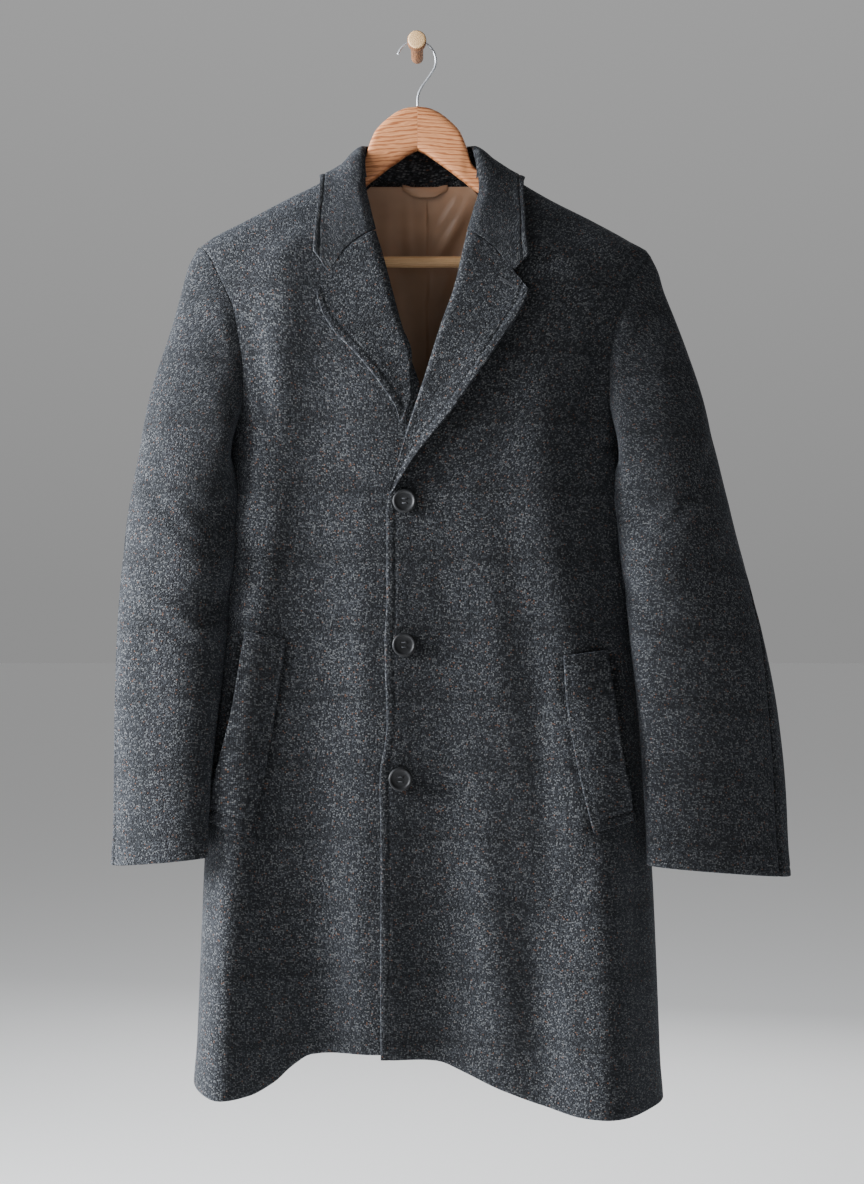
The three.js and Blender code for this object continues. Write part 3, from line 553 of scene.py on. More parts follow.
def tweed():
    material, nodes, links, shader = new_material(
        "tweed", Roughness=0.95, Specular_IOR_Level=0.2, Sheen_Weight=0.10, Sheen_Roughness=0.5,
        Sheen_Tint=(0.62, 0.70, 0.84, 1))
    place = node(nodes, "ShaderNodeUVMap", uv_map="cloth")

    def flecks(pitch, turn, stretch, wander):
        spread = node(nodes, "ShaderNodeMapping")
        spread.inputs["Rotation"].default_value = (0, 0, math.radians(turn))
        spread.inputs["Scale"].default_value = (1 / stretch, 1, 1)
        links.new(place.outputs[0], spread.inputs["Vector"])
        cells = node(nodes, "ShaderNodeTexVoronoi", voronoi_dimensions="2D", Scale=1 / pitch, Randomness=wander)
        links.new(spread.outputs[0], cells.inputs["Vector"])
        parts = nodes.new("ShaderNodeSeparateColor")
        links.new(cells.outputs["Color"], parts.inputs[0])
        return cells.outputs["Distance"], parts.outputs[0], parts.outputs[1]

    rows_distance, rows_pick, rows_tone = flecks(FLECK_PITCH, 8, 1.15, 0.62)
    fine_distance, fine_pick, _ = flecks(FLECK_PITCH * 0.6, -24, 1.3, 0.9)
    colours = ramp(nodes, [(0, GROUND), (0.22, GROUND), (0.42, DIM_FLECK), (0.70, BLUE_FLECK),
                           (0.93, PALE_FLECK), (0.978, PALE_FLECK), (0.985, RUST_FLECK), (1, RUST_FLECK)])
    links.new(rows_pick, colours.inputs[0])
    nub = ramp(nodes, [(0, (1, 1, 1)), (0.30, (0.9, 0.9, 0.9)), (0.62, (0, 0, 0))])
    links.new(rows_distance, nub.inputs[0])
    cloth = blend_colours(nodes, links, "MIX", nub.outputs[0], GROUND, colours.outputs[0])
    speck = ramp(nodes, [(0, (0, 0, 0)), (0.66, (0, 0, 0)), (0.80, (1, 1, 1))])
    links.new(fine_pick, speck.inputs[0])
    small = ramp(nodes, [(0, (1, 1, 1)), (0.45, (0, 0, 0))])
    links.new(fine_distance, small.inputs[0])
    amount = arithmetic(nodes, links, "MULTIPLY", speck.outputs[0], small.outputs[0])
    amount = arithmetic(nodes, links, "MULTIPLY", amount, 0.55)
    cloth = blend_colours(nodes, links, "MIX", amount, cloth, BLUE_FLECK)

    # The faint overcheck: groups of darker rows and, weaker, darker columns
    apart = nodes.new("ShaderNodeSeparateXYZ")
    links.new(place.outputs[0], apart.inputs[0])
    shade = None
    for output, repeat, depth in ((1, 0.072, 0.30), (0, 0.064, 0.13)):
        phase = arithmetic(nodes, links, "DIVIDE", apart.outputs[output], repeat)
        phase = arithmetic(nodes, links, "FRACT", phase)
        band = ramp(nodes, [(0, (0, 0, 0)), (0.30, (0, 0, 0)), (0.34, (1, 1, 1)), (0.40, (1, 1, 1)),
                            (0.43, (0.2, 0.2, 0.2)), (0.50, (0.8, 0.8, 0.8)), (0.58, (0, 0, 0)), (1, (0, 0, 0))])
        links.new(phase, band.inputs[0])
        dark = arithmetic(nodes, links, "MULTIPLY", band.outputs[0], depth)
        shade = dark if shade is None else arithmetic(nodes, links, "ADD", shade, dark)
    light = arithmetic(nodes, links, "SUBTRACT", 1.0, shade, clamp=True)
    cloud = node(nodes, "ShaderNodeTexNoise", Scale=9.0, Detail=4.0, Roughness=0.6)
    links.new(place.outputs[0], cloud.inputs["Vector"])
    uneven = arithmetic(nodes, links, "MULTIPLY_ADD", cloud.outputs[0], 0.3)
    nodes[-1].inputs[2].default_value = 0.85
    light = arithmetic(nodes, links, "MULTIPLY", light, uneven)
    pulled = node(nodes, "ShaderNodeMapping")
    pulled.inputs["Scale"].default_value = (60, 900, 1)
    links.new(place.outputs[0], pulled.inputs["Vector"])
    streak = node(nodes, "ShaderNodeTexNoise", Scale=1.0, Detail=2.0, Roughness=0.5)
    links.new(pulled.outputs[0], streak.inputs["Vector"])
    rows_shade = arithmetic(nodes, links, "MULTIPLY_ADD", streak.outputs[0], 0.7)
    nodes[-1].inputs[2].default_value = 0.65
    light = arithmetic(nodes, links, "MULTIPLY", light, rows_shade)
    cloth = blend_colours(nodes, links, "MULTIPLY", 1.0, cloth, light)
    links.new(cloth, shader.inputs["Base Color"])

    fibre = node(nodes, "ShaderNodeTexNoise", Scale=1500.0, Detail=3.0, Roughness=0.7)
    links.new(place.outputs[0], fibre.inputs["Vector"])
    relief = arithmetic(nodes, links, "MULTIPLY", nub.outputs[0], rows_tone)
    fuzz = arithmetic(nodes, links, "MULTIPLY", fibre.outputs[0], 0.7)
    relief = arithmetic(nodes, links, "ADD", relief, fuzz)
    grain = arithmetic(nodes, links, "MULTIPLY", small.outputs[0], 0.4)
    relief = arithmetic(nodes, links, "ADD", relief, grain)
    bump(nodes, links, shader, relief, 0.75, 0.0011)
    return material


def satin():
    material, nodes, links, shader = new_material(
        "satin", Roughness=0.38, Specular_IOR_Level=0.55, Sheen_Weight=0.25, Sheen_Roughness=0.35,
        Anisotropic=0.45, Sheen_Tint=(0.9, 0.72, 0.58, 1))
    place = node(nodes, "ShaderNodeUVMap", uv_map="cloth")
    cloud = node(nodes, "ShaderNodeTexNoise", Scale=18.0, Detail=3.0)
    links.new(place.outputs[0], cloud.inputs["Vector"])
    colours = ramp(nodes, [(0.25, (0.285, 0.160, 0.092)), (0.75, (0.420, 0.250, 0.150))])
    links.new(cloud.outputs[0], colours.inputs[0])
    links.new(colours.outputs[0], shader.inputs["Base Color"])
    threads = node(nodes, "ShaderNodeTexWave", wave_type="BANDS", bands_direction="DIAGONAL", Scale=900.0,
                   Distortion=0.4)
    links.new(place.outputs[0], threads.inputs["Vector"])
    pucker = node(nodes, "ShaderNodeTexNoise", Scale=60.0, Detail=2.0)
    links.new(place.outputs[0], pucker.inputs["Vector"])
    relief = arithmetic(nodes, links, "MULTIPLY", pucker.outputs[0], 3.0)
    relief = arithmetic(nodes, links, "ADD", relief, threads.outputs[1])
    bump(nodes, links, shader, relief, 0.22, 0.0006)
    return material


def wood(name, light, dark, stretch, turn, roughness, coat=0.18):
    """Grain that runs along X, with fine pores; turn slants it."""
    material, nodes, links, shader = new_material(name, Roughness=roughness, Coat_Weight=coat, Coat_Roughness=0.3,
                                                  Specular_IOR_Level=0.3)
    place = nodes.new("ShaderNodeTexCoord")
    spread = node(nodes, "ShaderNodeMapping")
    spread.inputs["Rotation"].default_value = (0, math.radians(turn), 0)
    spread.inputs["Scale"].default_value = stretch
    links.new(place.outputs["Object"], spread.inputs["Vector"])
    rings = node(nodes, "ShaderNodeTexWave", wave_type="BANDS", bands_direction="Z", Scale=3.0, Distortion=7.0,
                 Detail=3.0, Detail_Scale=1.6)
    links.new(spread.outputs[0], rings.inputs["Vector"])
    pores = node(nodes, "ShaderNodeTexNoise", Scale=26.0, Detail=6.0, Roughness=0.7)
    links.new(spread.outputs[0], pores.inputs["Vector"])
    figure = arithmetic(nodes, links, "MULTIPLY", rings.outputs[1], 0.6)
    specks = arithmetic(nodes, links, "MULTIPLY", pores.outputs[0], 0.55)
    figure = arithmetic(nodes, links, "ADD", figure, specks)
    colours = ramp(nodes, [(0.28, dark), (0.64, light), (0.95, tuple(0.5 * a + 0.5 * b for a, b in zip(dark, light)))])
    links.new(figure, colours.inputs[0])
    links.new(colours.outputs[0], shader.inputs["Base Color"])
    bump(nodes, links, shader, figure, 0.15, 0.0006)
    return material


def steel():
    material, nodes, links, shader = new_material("steel", Metallic=1.0, Roughness=0.52)
    place = nodes.new("ShaderNodeTexCoord")
    haze = node(nodes, "ShaderNodeTexNoise", Scale=180.0, Detail=3.0)
    links.new(place.outputs["Object"], haze.inputs["Vector"])
    colours = ramp(nodes, [(0.3, (0.46, 0.48, 0.51)), (0.7, (0.60, 0.62, 0.65))])
    links.new(haze.outputs[0], colours.inputs[0])
    links.new(colours.outputs[0], shader.inputs["Base Color"])
    bump(nodes, links, shader, haze.outputs[0], 0.1, 0.0002)
    return material


def horn():
    material, nodes, links, shader = new_material("horn", Roughness=0.5, Specular_IOR_Level=0.3)
    place = nodes.new("ShaderNodeTexCoord")
    cloud = node(nodes, "ShaderNodeTexNoise", Scale=140.0, Detail=4.0)
    links.new(place.outputs["Object"], cloud.inputs["Vector"])
    colours = ramp(nodes, [(0.3, (0.005, 0.0054, 0.0062)), (0.8, (0.011, 0.0115, 0.013))])
    links.new(cloud.outputs[0], colours.inputs[0])
    links.new(colours.outputs[0], shader.inputs["Base Color"])
    worn = ramp(nodes, [(0.35, (0.44, 0.44, 0.44)), (0.75, (0.66, 0.66, 0.66))])
    links.new(cloud.outputs[0], worn.inputs[0])
    links.new(worn.outputs[0], shader.inputs["Roughness"])
    bump(nodes, links, shader, cloud.outputs[0], 0.12, 0.0003)
    return material


def thread():
    material, nodes, links, shader = new_material("thread", Roughness=0.7, Sheen_Weight=0.2)
    place = nodes.new("ShaderNodeTexCoord")
    twist = node(nodes, "ShaderNodeTexNoise", Scale=900.0, Detail=1.0)
    links.new(place.outputs["Object"], twist.inputs["Vector"])
    colours = ramp(nodes, [(0.35, (0.010, 0.011, 0.014)), (0.7, (0.030, 0.033, 0.040))])
    links.new(twist.outputs[0], colours.inputs[0])
    links.new(colours.outputs[0], shader.inputs["Base Color"])
    bump(nodes, links, shader, twist.outputs[0], 0.3, 0.0002)
    return material


TWEED = tweed()
SATIN = satin()
HANGER_WOODS = {wearer: wood(f"hanger_wood_{wearer}", (0.640, 0.285, 0.125), (0.300, 0.098, 0.034), (4, 4, 30), turn, 0.5)
                for wearer, turn in (("right", 38), ("left", -30))}
# The dowel is a paler wood, and its colour is raised past that wood's own: painted light for the light it lacks in the
# shade of the lapels.
BAR_WOOD_PAINTED_LIGHT = wood("bar_wood", (0.900, 0.570, 0.300), (0.700, 0.400, 0.180), (5, 60, 60), 0, 0.5)
# The peg's turned side is painted a darker brown than its face: painted shade for the shadow on its side and
# underside.
PEG_SIDE_PAINTED_SHADE = wood("peg_wood", (0.200, 0.086, 0.034), (0.090, 0.036, 0.014), (60, 6, 60), 0, 0.9, 0.0)
STEEL = steel()
HORN = horn()
THREAD = thread()


# Pieces: each rides on the coat's one body and hides the CAD parts that it replaces

def finish_piece(made, slot, *replaced):
    if replaced:
        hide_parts(*replaced)
    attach(made, "root")
    return made


def levels(marks, step):
    """Heights from the first mark to the last, no further apart than step, through every mark."""
    out = [float(marks[0])]
    for low, high in zip(marks[:-1], marks[1:]):
        count = max(int(math.ceil(abs(high - low) / step)), 1)
        out += np.linspace(low, high, count + 1)[1:].tolist()
    return np.array(out)


def outer_limit(wearer, face):
    def limit(z):
        if UNDERARM[wearer] - 0.01 < z < TIP[wearer] + 0.01:
            return getattr(ARMHOLE[wearer], face)(z)
        return BODY.left(z) if wearer == "right" else BODY.right(z)
    return limit


NEAR_EDGE = np.array([0, 0.9, 2.2, 4, 5.6, 6.8, 7.8, 8.5, 9.2, 10.2, 11.6, 13.6, 17])


def stitch_groove(distance, depth=0.8, width=1.5):
    return -depth * np.exp(-(((distance - STITCH_INSET) / width) ** 2))


WELT = {
    "right": Table("t closedX closedZ openX openZ", [
        [0, -136, -632.7, -175.7, -623.4], [0.2, -141, -670, -180, -655], [0.45, -148, -716, -188, -708],
        [0.7, -156.5, -762, -199, -757], [1, -172.5, -834, -214, -822],
    ]),
    "left": Table("t closedX closedZ openX openZ", [
        [0, 151.5, -649, 195, -643.4], [0.2, 153.5, -686, 197.6, -679], [0.45, 160, -731, 201, -724],
        [0.7, 168.5, -775, 207, -768], [1, 182, -830, 222, -820],
    ]),
}
WELT_GAPE = {
    "right": Table("t away", [[0, 0.6], [0.25, 3.8], [0.7, 4.2], [1, 0.6]]),
    "left": Table("t away", [[0, 0.6], [0.2, 5], [0.45, 10], [0.75, 11], [1, 0.6]]),
}

MOUTH = {
    "right": Table("z open closed", [[-623, -175.7, -136], [-657, -180.4, -139], [-708, -188, -146.8],
                                     [-757, -199, -155.6], [-822, -214, -170]]),
    "left": Table("z open closed", [[-643, 195, 151.2], [-679, 197.6, 153.2], [-724, 201, 159], [-768, 207, 167.2],
                                    [-820, 222, 180]]),
}
MOUTH_DEEP = 13.0
WELT_SEAM_DEEP = 3.2
WELT_SEAM_WIDE = 1.9
WELT_CLEAR = (0.5, 2.6)
WELT_THICK = 3.2


def mouth_hollow(wearer, x, z):
    """How far the front sinks behind a pocket's open edge and along the welt's seam."""
    line = MOUTH[wearer]
    sign = 1 if wearer == "left" else -1
    beyond = (x - line.open(z)) * sign
    width = np.where(beyond > 2, 6.5, 16)
    along = smooth(line.keys[0] - 4, line.keys[0] + 22, z) * (1 - smooth(line.keys[-1] - 22, line.keys[-1] + 4, z))
    seam = np.exp(-((((x - line.closed(z)) * sign + 0.8) / WELT_SEAM_WIDE) ** 2))
    inside = smooth(line.keys[0] - 14, line.keys[0] - 8, z) * (1 - smooth(line.keys[-1] - 9, line.keys[-1] - 4, z))
    return -MOUTH_DEEP * along * np.exp(-(((beyond - 2) / width) ** 2)) - WELT_SEAM_DEEP * seam * inside


def make_front(wearer):
    marks = [NECK_POINT, TIP["right"], TIP["left"], UNDERARM[wearer], FREE_HEM, LOW_HEM + 12, LOW_HEM + 1.2, LOW_HEM]
    grid, run = panel_rows(levels(marks, 5), FRONT_EDGE[wearer].x, outer_limit(wearer, "front"), NEAR_EDGE, 56,
                           True, HEM[wearer].z)
    out, _ = steepest(grid)
    lift = overlap(grid[..., 0], grid[..., 2]) if wearer == "left" else 0 * run
    if wearer == "left":
        lift = lift + stitch_groove(run) * (1 - smooth(-500, -470, grid[..., 2]))
    low = grid[..., 2] - HEM[wearer].z(grid[..., 0])
    fold_edge = EDGE_EXTRA * np.exp(-((low / 26) ** 2))
    if wearer == "left":
        fold_edge = np.maximum(fold_edge, EDGE_EXTRA * np.exp(-((run / 13) ** 2)) * (1 - smooth(-500, -480, grid[..., 2])))
    lift = lift + mouth_hollow(wearer, grid[..., 0], grid[..., 2]) + fold_edge
    grid = grid + out * np.asarray(lift)[..., None]
    sign = 1 if wearer == "left" else -1
    uv = np.stack([run * sign, grid[..., 2]], -1)
    made = shell(f"front_{wearer}_cloth", grid, steepest(grid)[0], CLOTH + fold_edge, TWEED, uv)
    finish_piece(made, "wool", f"front_{wearer}")


BACK_NECK_DROP = 19.0


def make_back():
    marks = [NECK_POINT, TIP["right"], TIP["left"], UNDERARM["right"], FREE_HEM, LOW_HEM + 12, LOW_HEM + 1.2, LOW_HEM]
    grid, run = panel_rows(levels(marks, 6), outer_limit("right", "back"), outer_limit("left", "back"),
                           np.array([0, 0.9, 3]), 104, False, HEM["back"].z)
    drop = BACK_NECK_DROP * (1 - smooth(0, 80, NECK_POINT - grid[:, :1, 2]))
    share = run / run[:, -1:]
    low = drop * np.sin(np.pi * share) ** 0.7
    x, z = grid[..., 0], grid[..., 2] - low
    moved = surface(x, z, False)
    grid = np.where((low > 0.01)[..., None], moved, grid)
    seam = np.exp(-(((grid[..., 0] - 5) / 1.6) ** 2)) * -0.7
    grid = grid + steepest(grid)[0] * seam[..., None]
    uv = np.stack([grid[..., 0], grid[..., 2]], -1)
    made = shell("back_cloth", grid, steepest(grid)[0], CLOTH, TWEED, uv)
    finish_piece(made, "wool", "back")


SLEEVE_COLUMNS = "t outerX outerY outerZ innerX innerY innerZ depth seam gap"
SLEEVE = {
    "right": Table(SLEEVE_COLUMNS, [
        [0, -235, -38, -214, -202, -50, -432, 46, -24, 0.5],
        [0.05, -249, -40, -250, -196, -66, -440, 48, -20, 0.5],
        [0.12, -258, -46, -296, -188, -84, -458, 50, -14, 0.5],
        [0.2, -271, -52, -350, -185, -96, -482, 50, 8, 0.5],
        [0.32, -287, -58, -430, -189, -103, -522, 48, 26, 0.5],
        [0.45, -302, -62, -514, -195, -107, -575, 45, 31, 0.5],
        [0.6, -311, -66, -612, -201, -109, -640, 42, 34, 0.5],
        [0.75, -314.5, -69, -708, -206, -110, -712, 40, 36, 7],
        [0.88, -316, -71, -792, -210.5, -110, -790, 38, 38, 11],
        [1, -318, -72, -869, -211, -108, -857, 36, 38, 11],
    ]),
    "left": Table(SLEEVE_COLUMNS, [
        [0, 250, -38, -223, 220, -50, -436, 46, -24, 0.5],
        [0.05, 262, -40, -257, 213, -66, -444, 48, -20, 0.5],
        [0.12, 276, -46, -299, 206, -84, -460, 48, -14, 0.5],
        [0.2, 290, -52, -350, 207, -96, -484, 46, -8, 0.5],
        [0.32, 310, -58, -430, 213, -104, -520, 44, 2, 0.5],
        [0.45, 333, -62, -518, 218, -108, -574, 40, 10, 0.5],
        [0.6, 361, -66, -618, 224, -111, -640, 35, 30, 0.5],
        [0.75, 380, -69, -712, 231, -113, -712, 30, 42, 0.5],
        [0.88, 389, -71, -798, 236, -113, -792, 26, 42, 0.5],
        [1, 392, -73, -882, 241, -112, -866, 24, 40, 0.5],
    ]),
}
CAP_REACH = 0.25
HOLE_GAP = 0.15
LOW_HOLE_GAP = 0.6
TUCK = 0.004
TUCKED = 3.0
INSEAM = 196

# Hollows and ridges of the sleeves: where along and around, how far each way, slant and height
SLEEVE_FOLD_COLUMNS = ("along", "around", "reach", "turn", "slant", "height")
SLEEVE_FOLDS = {
    "right": [
        (0.30, 140, 0.05, 40, -0.02, -7.0), (0.42, 120, 0.05, 50, -0.02, 5.0), (0.50, 150, 0.04, 40, -0.02, -6.0),
        (0.66, 60, 0.12, 26, -0.02, 4.0), (0.36, 95, 0.022, 50, 0.03, -2.6), (0.46, 70, 0.020, 44, -0.03, -2.2),
        (0.54, 100, 0.024, 55, 0.035, 2.4), (0.60, 130, 0.020, 42, 0.03, -2.4), (0.24, 60, 0.05, 26, 0.04, -2.2),
        (0.74, 110, 0.03, 60, 0.03, -1.8), (0.86, 80, 0.06, 22, 0.0, 2.0), (0.44, 280, 0.03, 50, 0.03, -3.0),
        (0.52, 250, 0.03, 44, -0.03, 2.6), (0.64, 290, 0.04, 40, 0.02, -2.4), (0.20, 300, 0.06, 24, 0.0, -2.6),
    ],
    "left": [
        (0.30, 140, 0.05, 40, -0.02, -7.0), (0.42, 120, 0.05, 50, -0.02, 5.0), (0.50, 150, 0.04, 40, -0.02, -6.0),
        (0.66, 60, 0.12, 26, -0.02, 4.0), (0.34, 80, 0.024, 46, 0.035, -2.8), (0.45, 100, 0.020, 52, 0.03, 2.4),
        (0.53, 66, 0.022, 40, -0.03, -2.4), (0.61, 110, 0.024, 50, 0.03, -2.2), (0.22, 70, 0.05, 24, 0.03, -2.4),
        (0.78, 90, 0.05, 30, 0.0, 2.2), (0.88, 60, 0.05, 20, 0.0, -2.0), (0.42, 270, 0.03, 50, -0.03, -3.0),
        (0.55, 255, 0.03, 40, 0.03, 2.6), (0.68, 300, 0.05, 34, 0.02, -2.4), (0.24, 295, 0.06, 26, 0.0, -2.4),
    ],
}


def armhole_point(wearer, turn):
    z = mix(TIP[wearer], UNDERARM[wearer], (1 - np.cos(turn)) / 2)
    hole = ARMHOLE[wearer]
    front = (np.sin(turn) >= 0)[..., None]
    return np.where(front, surface(hole.front(z), z, True), surface(hole.back(z), z, False))


def sleeve_section(wearer, t, turn):
    line = SLEEVE[wearer]
    outer = np.stack([line.outerX(t), line.outerY(t), line.outerZ(t)], -1)
    inner = np.stack([line.innerX(t), line.innerY(t), line.innerZ(t)], -1)
    middle, half = (outer + inner) / 2, (outer - inner) / 2
    forward = np.stack([-half[..., 1], half[..., 0], 0 * t], -1)
    forward = unit(np.where(forward[..., 1:2] > 0, -forward, forward))
    return (middle + half * power(np.cos(turn), 0.9)[..., None]
            + forward * (line.depth(t) * power(np.sin(turn), 0.9))[..., None])


def sleeve_point(wearer, t, turn):
    sign = -1 if wearer == "right" else 1
    t, turn = np.broadcast_arrays(np.asarray(t, float), np.asarray(turn, float))
    wrapped = np.mod(turn, 2 * np.pi)
    cap = armhole_point(wearer, wrapped) - sleeve_section(wearer, 0 * t, wrapped)
    p = sleeve_section(wearer, t, wrapped) + cap * (1 - smooth(0, CAP_REACH, t))[..., None]
    swell = np.zeros(t.shape)
    for row in SLEEVE_FOLDS[wearer]:
        fold = dict(zip(SLEEVE_FOLD_COLUMNS, row))
        away = (np.degrees(wrapped) - fold["around"]) / fold["turn"]
        along = (t - fold["along"] - fold["slant"] * away) / fold["reach"]
        swell = swell + fold["height"] * np.exp(-away**2 - along**2)
    swell = swell + 2.2 * np.exp(-(((t - 0.025) / 0.02) ** 2)) * smooth(-0.2, 0.4, np.cos(wrapped))
    low = smooth(-0.5, 0.3, -np.cos(wrapped))
    p = p.copy()
    p[..., 1] -= swell * np.sin(wrapped)
    p[..., 0] += sign * swell * np.cos(wrapped)
    p[..., 0] += sign * mix(HOLE_GAP, LOW_HOLE_GAP, low) * (1 - smooth(0, 0.1, t))
    p = keep_clear(p, SLEEVE[wearer].gap(t) * mix(smooth(0, 0.1, t), smooth(0, 0.07, t), low))
    tuck = np.clip(-t / TUCK, 0, 1)[..., None]
    return p - tuck * TUCKED * (steepest(p)[0] + np.array([sign, 0, 0]))


SLEEVE_LENGTH = 655.0
SLEEVE_GIRTH = 330.0
TOP_SLEEVE = ((0.21, 0.66), 0.101)
UNDER_SLEEVE = ((0.18, 0.60), 0.090)


def make_sleeve(wearer):
    t = with_lips(np.linspace(0, 1, 120), 0.0015)
    t = np.union1d([-TUCK, -TUCK / 2], t)
    t = np.union1d(t, [1 - 0.0075, 1 - 0.0115, 1 - 0.0135, 1 - 0.0155, 1 - 0.0195])
    step = 0.004
    for part, (size, area), count in (("top", TOP_SLEEVE, 62), ("under", UNDER_SLEEVE, 44)):
        margin = mix(0.03, 0.004, smooth(0, 0.12, t))
        elbow = np.radians(SLEEVE[wearer].seam(t))
        inseam = np.radians(INSEAM)
        start, end = (elbow + margin, inseam - margin) if part == "top" else (inseam + margin, elbow + 2 * np.pi - margin)
        share = with_lips(np.linspace(0, 1, count), 0.006)
        turn = mix(start[:, None], end[:, None], share[None, :])
        rows = np.broadcast_to(t[:, None], turn.shape)
        grid = sleeve_point(wearer, rows, turn)
        around = sleeve_point(wearer, rows, turn + 0.01) - sleeve_point(wearer, rows, turn - 0.01)
        mid = np.clip(rows, 0.03, 1 - step)
        down = sleeve_point(wearer, mid + step, turn) - sleeve_point(wearer, mid - step, turn)
        out = unit(np.cross(down, around))
        core = sleeve_section(wearer, rows, turn) - sleeve_section(wearer, rows, turn + np.pi)
        out = out if np.sum(out * core) > 0 else -out
        rise = stitch_groove((1 - rows) * SLEEVE_LENGTH, 0.7, 1.6)
        elbow_away = np.minimum(np.abs(share - 0) * (end - start)[:, None], np.abs(1 - share) * (end - start)[:, None])
        rise = rise - 2.0 * np.exp(-((elbow_away * SLEEVE_GIRTH / 6.28 / 2.2) ** 2))
        grid = grid + out * rise[..., None]
        cuff = EDGE_EXTRA * np.exp(-(((1 - rows) * SLEEVE_LENGTH / 22) ** 2))
        grid = grid + out * cuff[..., None]
        uv = arc_uv(grid, count // 2, -1)
        made = shell(f"{part}_sleeve_{wearer}_cloth", grid, out, CLOTH + cuff, TWEED, uv)
        finish_piece(made, "wool", f"{part}_sleeve_{wearer}")


COLLAR = Table("t foldX foldY foldZ edgeX edgeY edgeZ seamX seamY seamZ", [
    [-1, -42, -84, -207, -107.6, -98, -229, -46, -80, -203],
    [-0.8, -49, -77, -177, -106, -88, -203, -52, -74, -176],
    [-0.62, -54, -68, -150, -103, -70, -170, -52.5, -63, -149],
    [-0.42, -55, -52, -117, -100.5, -44, -145, -56, -49, -130],
    [-0.3, -55, -38, -105, -98, -20, -148, -60, -35, -117],
    [-0.15, -40, -23, -102, -60, -5, -160, -46, -14, -131],
    [0, 4, -20, -101, 4, -3.5, -165, 4, -10.5, -140.5],
    [0.15, 46, -23, -102, 68, -5, -160, 53, -14, -131],
    [0.3, 58, -38, -105, 106, -20, -149, 69, -35, -117],
    [0.42, 61, -52, -117, 111, -44, -147, 65.5, -49, -130],
    [0.62, 65.4, -68, -154, 112, -70, -178, 62, -63, -151],
    [0.8, 59, -78, -182, 113, -88, -207, 62, -74, -180],
    [1, 52, -86, -208, 116.4, -100, -232, 58, -82, -204],
])
GORGE = {
    "right": Table("s x z", [[0, -42, -207], [0.35, -70.8, -226], [0.72, -91.3, -250], [0.88, -101, -237.6],
                             [1, -107.6, -229]]),
    "left": Table("s x z", [[0, 52, -208], [0.35, 79, -226], [0.72, 100.3, -250], [0.88, 110, -240],
                            [1, 116.4, -232.6]]),
}
LEAF_SWELL = 7.0
LEAF_DEPTH = 70.0


def leaf_points(t, s):
    fold = np.stack([COLLAR.foldX(t), COLLAR.foldY(t), COLLAR.foldZ(t)], -1)
    edge = np.stack([COLLAR.edgeX(t), COLLAR.edgeY(t), COLLAR.edgeZ(t)], -1)
    p = fold + (edge - fold) * s[..., None]
    end = smooth(0.55, 1, np.abs(t))
    right = t < 0
    for wearer, chosen, last in (("right", right, -1.0), ("left", ~right, 1.0)):
        gorge = GORGE[wearer]
        plain_x = mix(COLLAR.foldX(last), COLLAR.edgeX(last), s)
        plain_z = mix(COLLAR.foldZ(last), COLLAR.edgeZ(last), s)
        p[..., 0] += np.where(chosen, (gorge.x(s) - plain_x) * end, 0)
        p[..., 2] += np.where(chosen, (gorge.z(s) - plain_z) * end, 0)
    away = unit(np.stack([p[..., 0] - 5, p[..., 1] + 38, np.full(t.shape, 40.0)], -1))
    swell = LEAF_SWELL * np.sin(np.pi * np.sqrt(s)) * (1 - end)
    p = p + away * swell[..., None]
    return keep_clear(p, (CLOTH + 1.4) * smooth(0, 0.1, s) + 2)


def make_collar():
    t = with_lips(np.linspace(-1, 1, 190), 0.004)
    s = np.unique(np.concatenate([np.linspace(0, 0.84, 26), [0.86, 0.87, 0.88, 0.89, 0.91, 0.94, 0.965, 0.988, 1]]))
    t, s = np.meshgrid(t, s, indexing="ij")
    grid = leaf_points(t, s)
    centre = np.array([5.0, -38.0, -260.0])
    out = grid_normals(grid, grid - centre)
    from_edge = (1 - s) * LEAF_DEPTH
    thicker = EDGE_EXTRA * np.exp(-((from_edge / 13) ** 2))
    grid = grid + out * (stitch_groove(from_edge) + thicker)[..., None]
    uv = arc_uv(grid.transpose(1, 0, 2), len(grid) // 2, 20).transpose(1, 0, 2)
    made = shell("collar_leaf_cloth", grid, out, CLOTH + thicker, TWEED, uv)
    finish_piece(made, "wool", "collar")
    t, u = np.meshgrid(with_lips(np.linspace(-0.55, 0.55, 90), 0.004), with_lips(np.linspace(0, 0.8, 14), 0.02),
                       indexing="ij")
    seam = np.stack([COLLAR.seamX(t), COLLAR.seamY(t), COLLAR.seamZ(t)], -1)
    fold = np.stack([COLLAR.foldX(t), COLLAR.foldY(t), COLLAR.foldZ(t)], -1)
    stand = seam + (fold - seam) * u[..., None]
    out = grid_normals(stand, stand - centre)
    uv = np.stack([t * 170, u * 42], -1)
    made = shell("collar_stand_cloth", stand, -out, CLOTH * 0.7, TWEED, uv)
    finish_piece(made, "wool", "collar_stand")


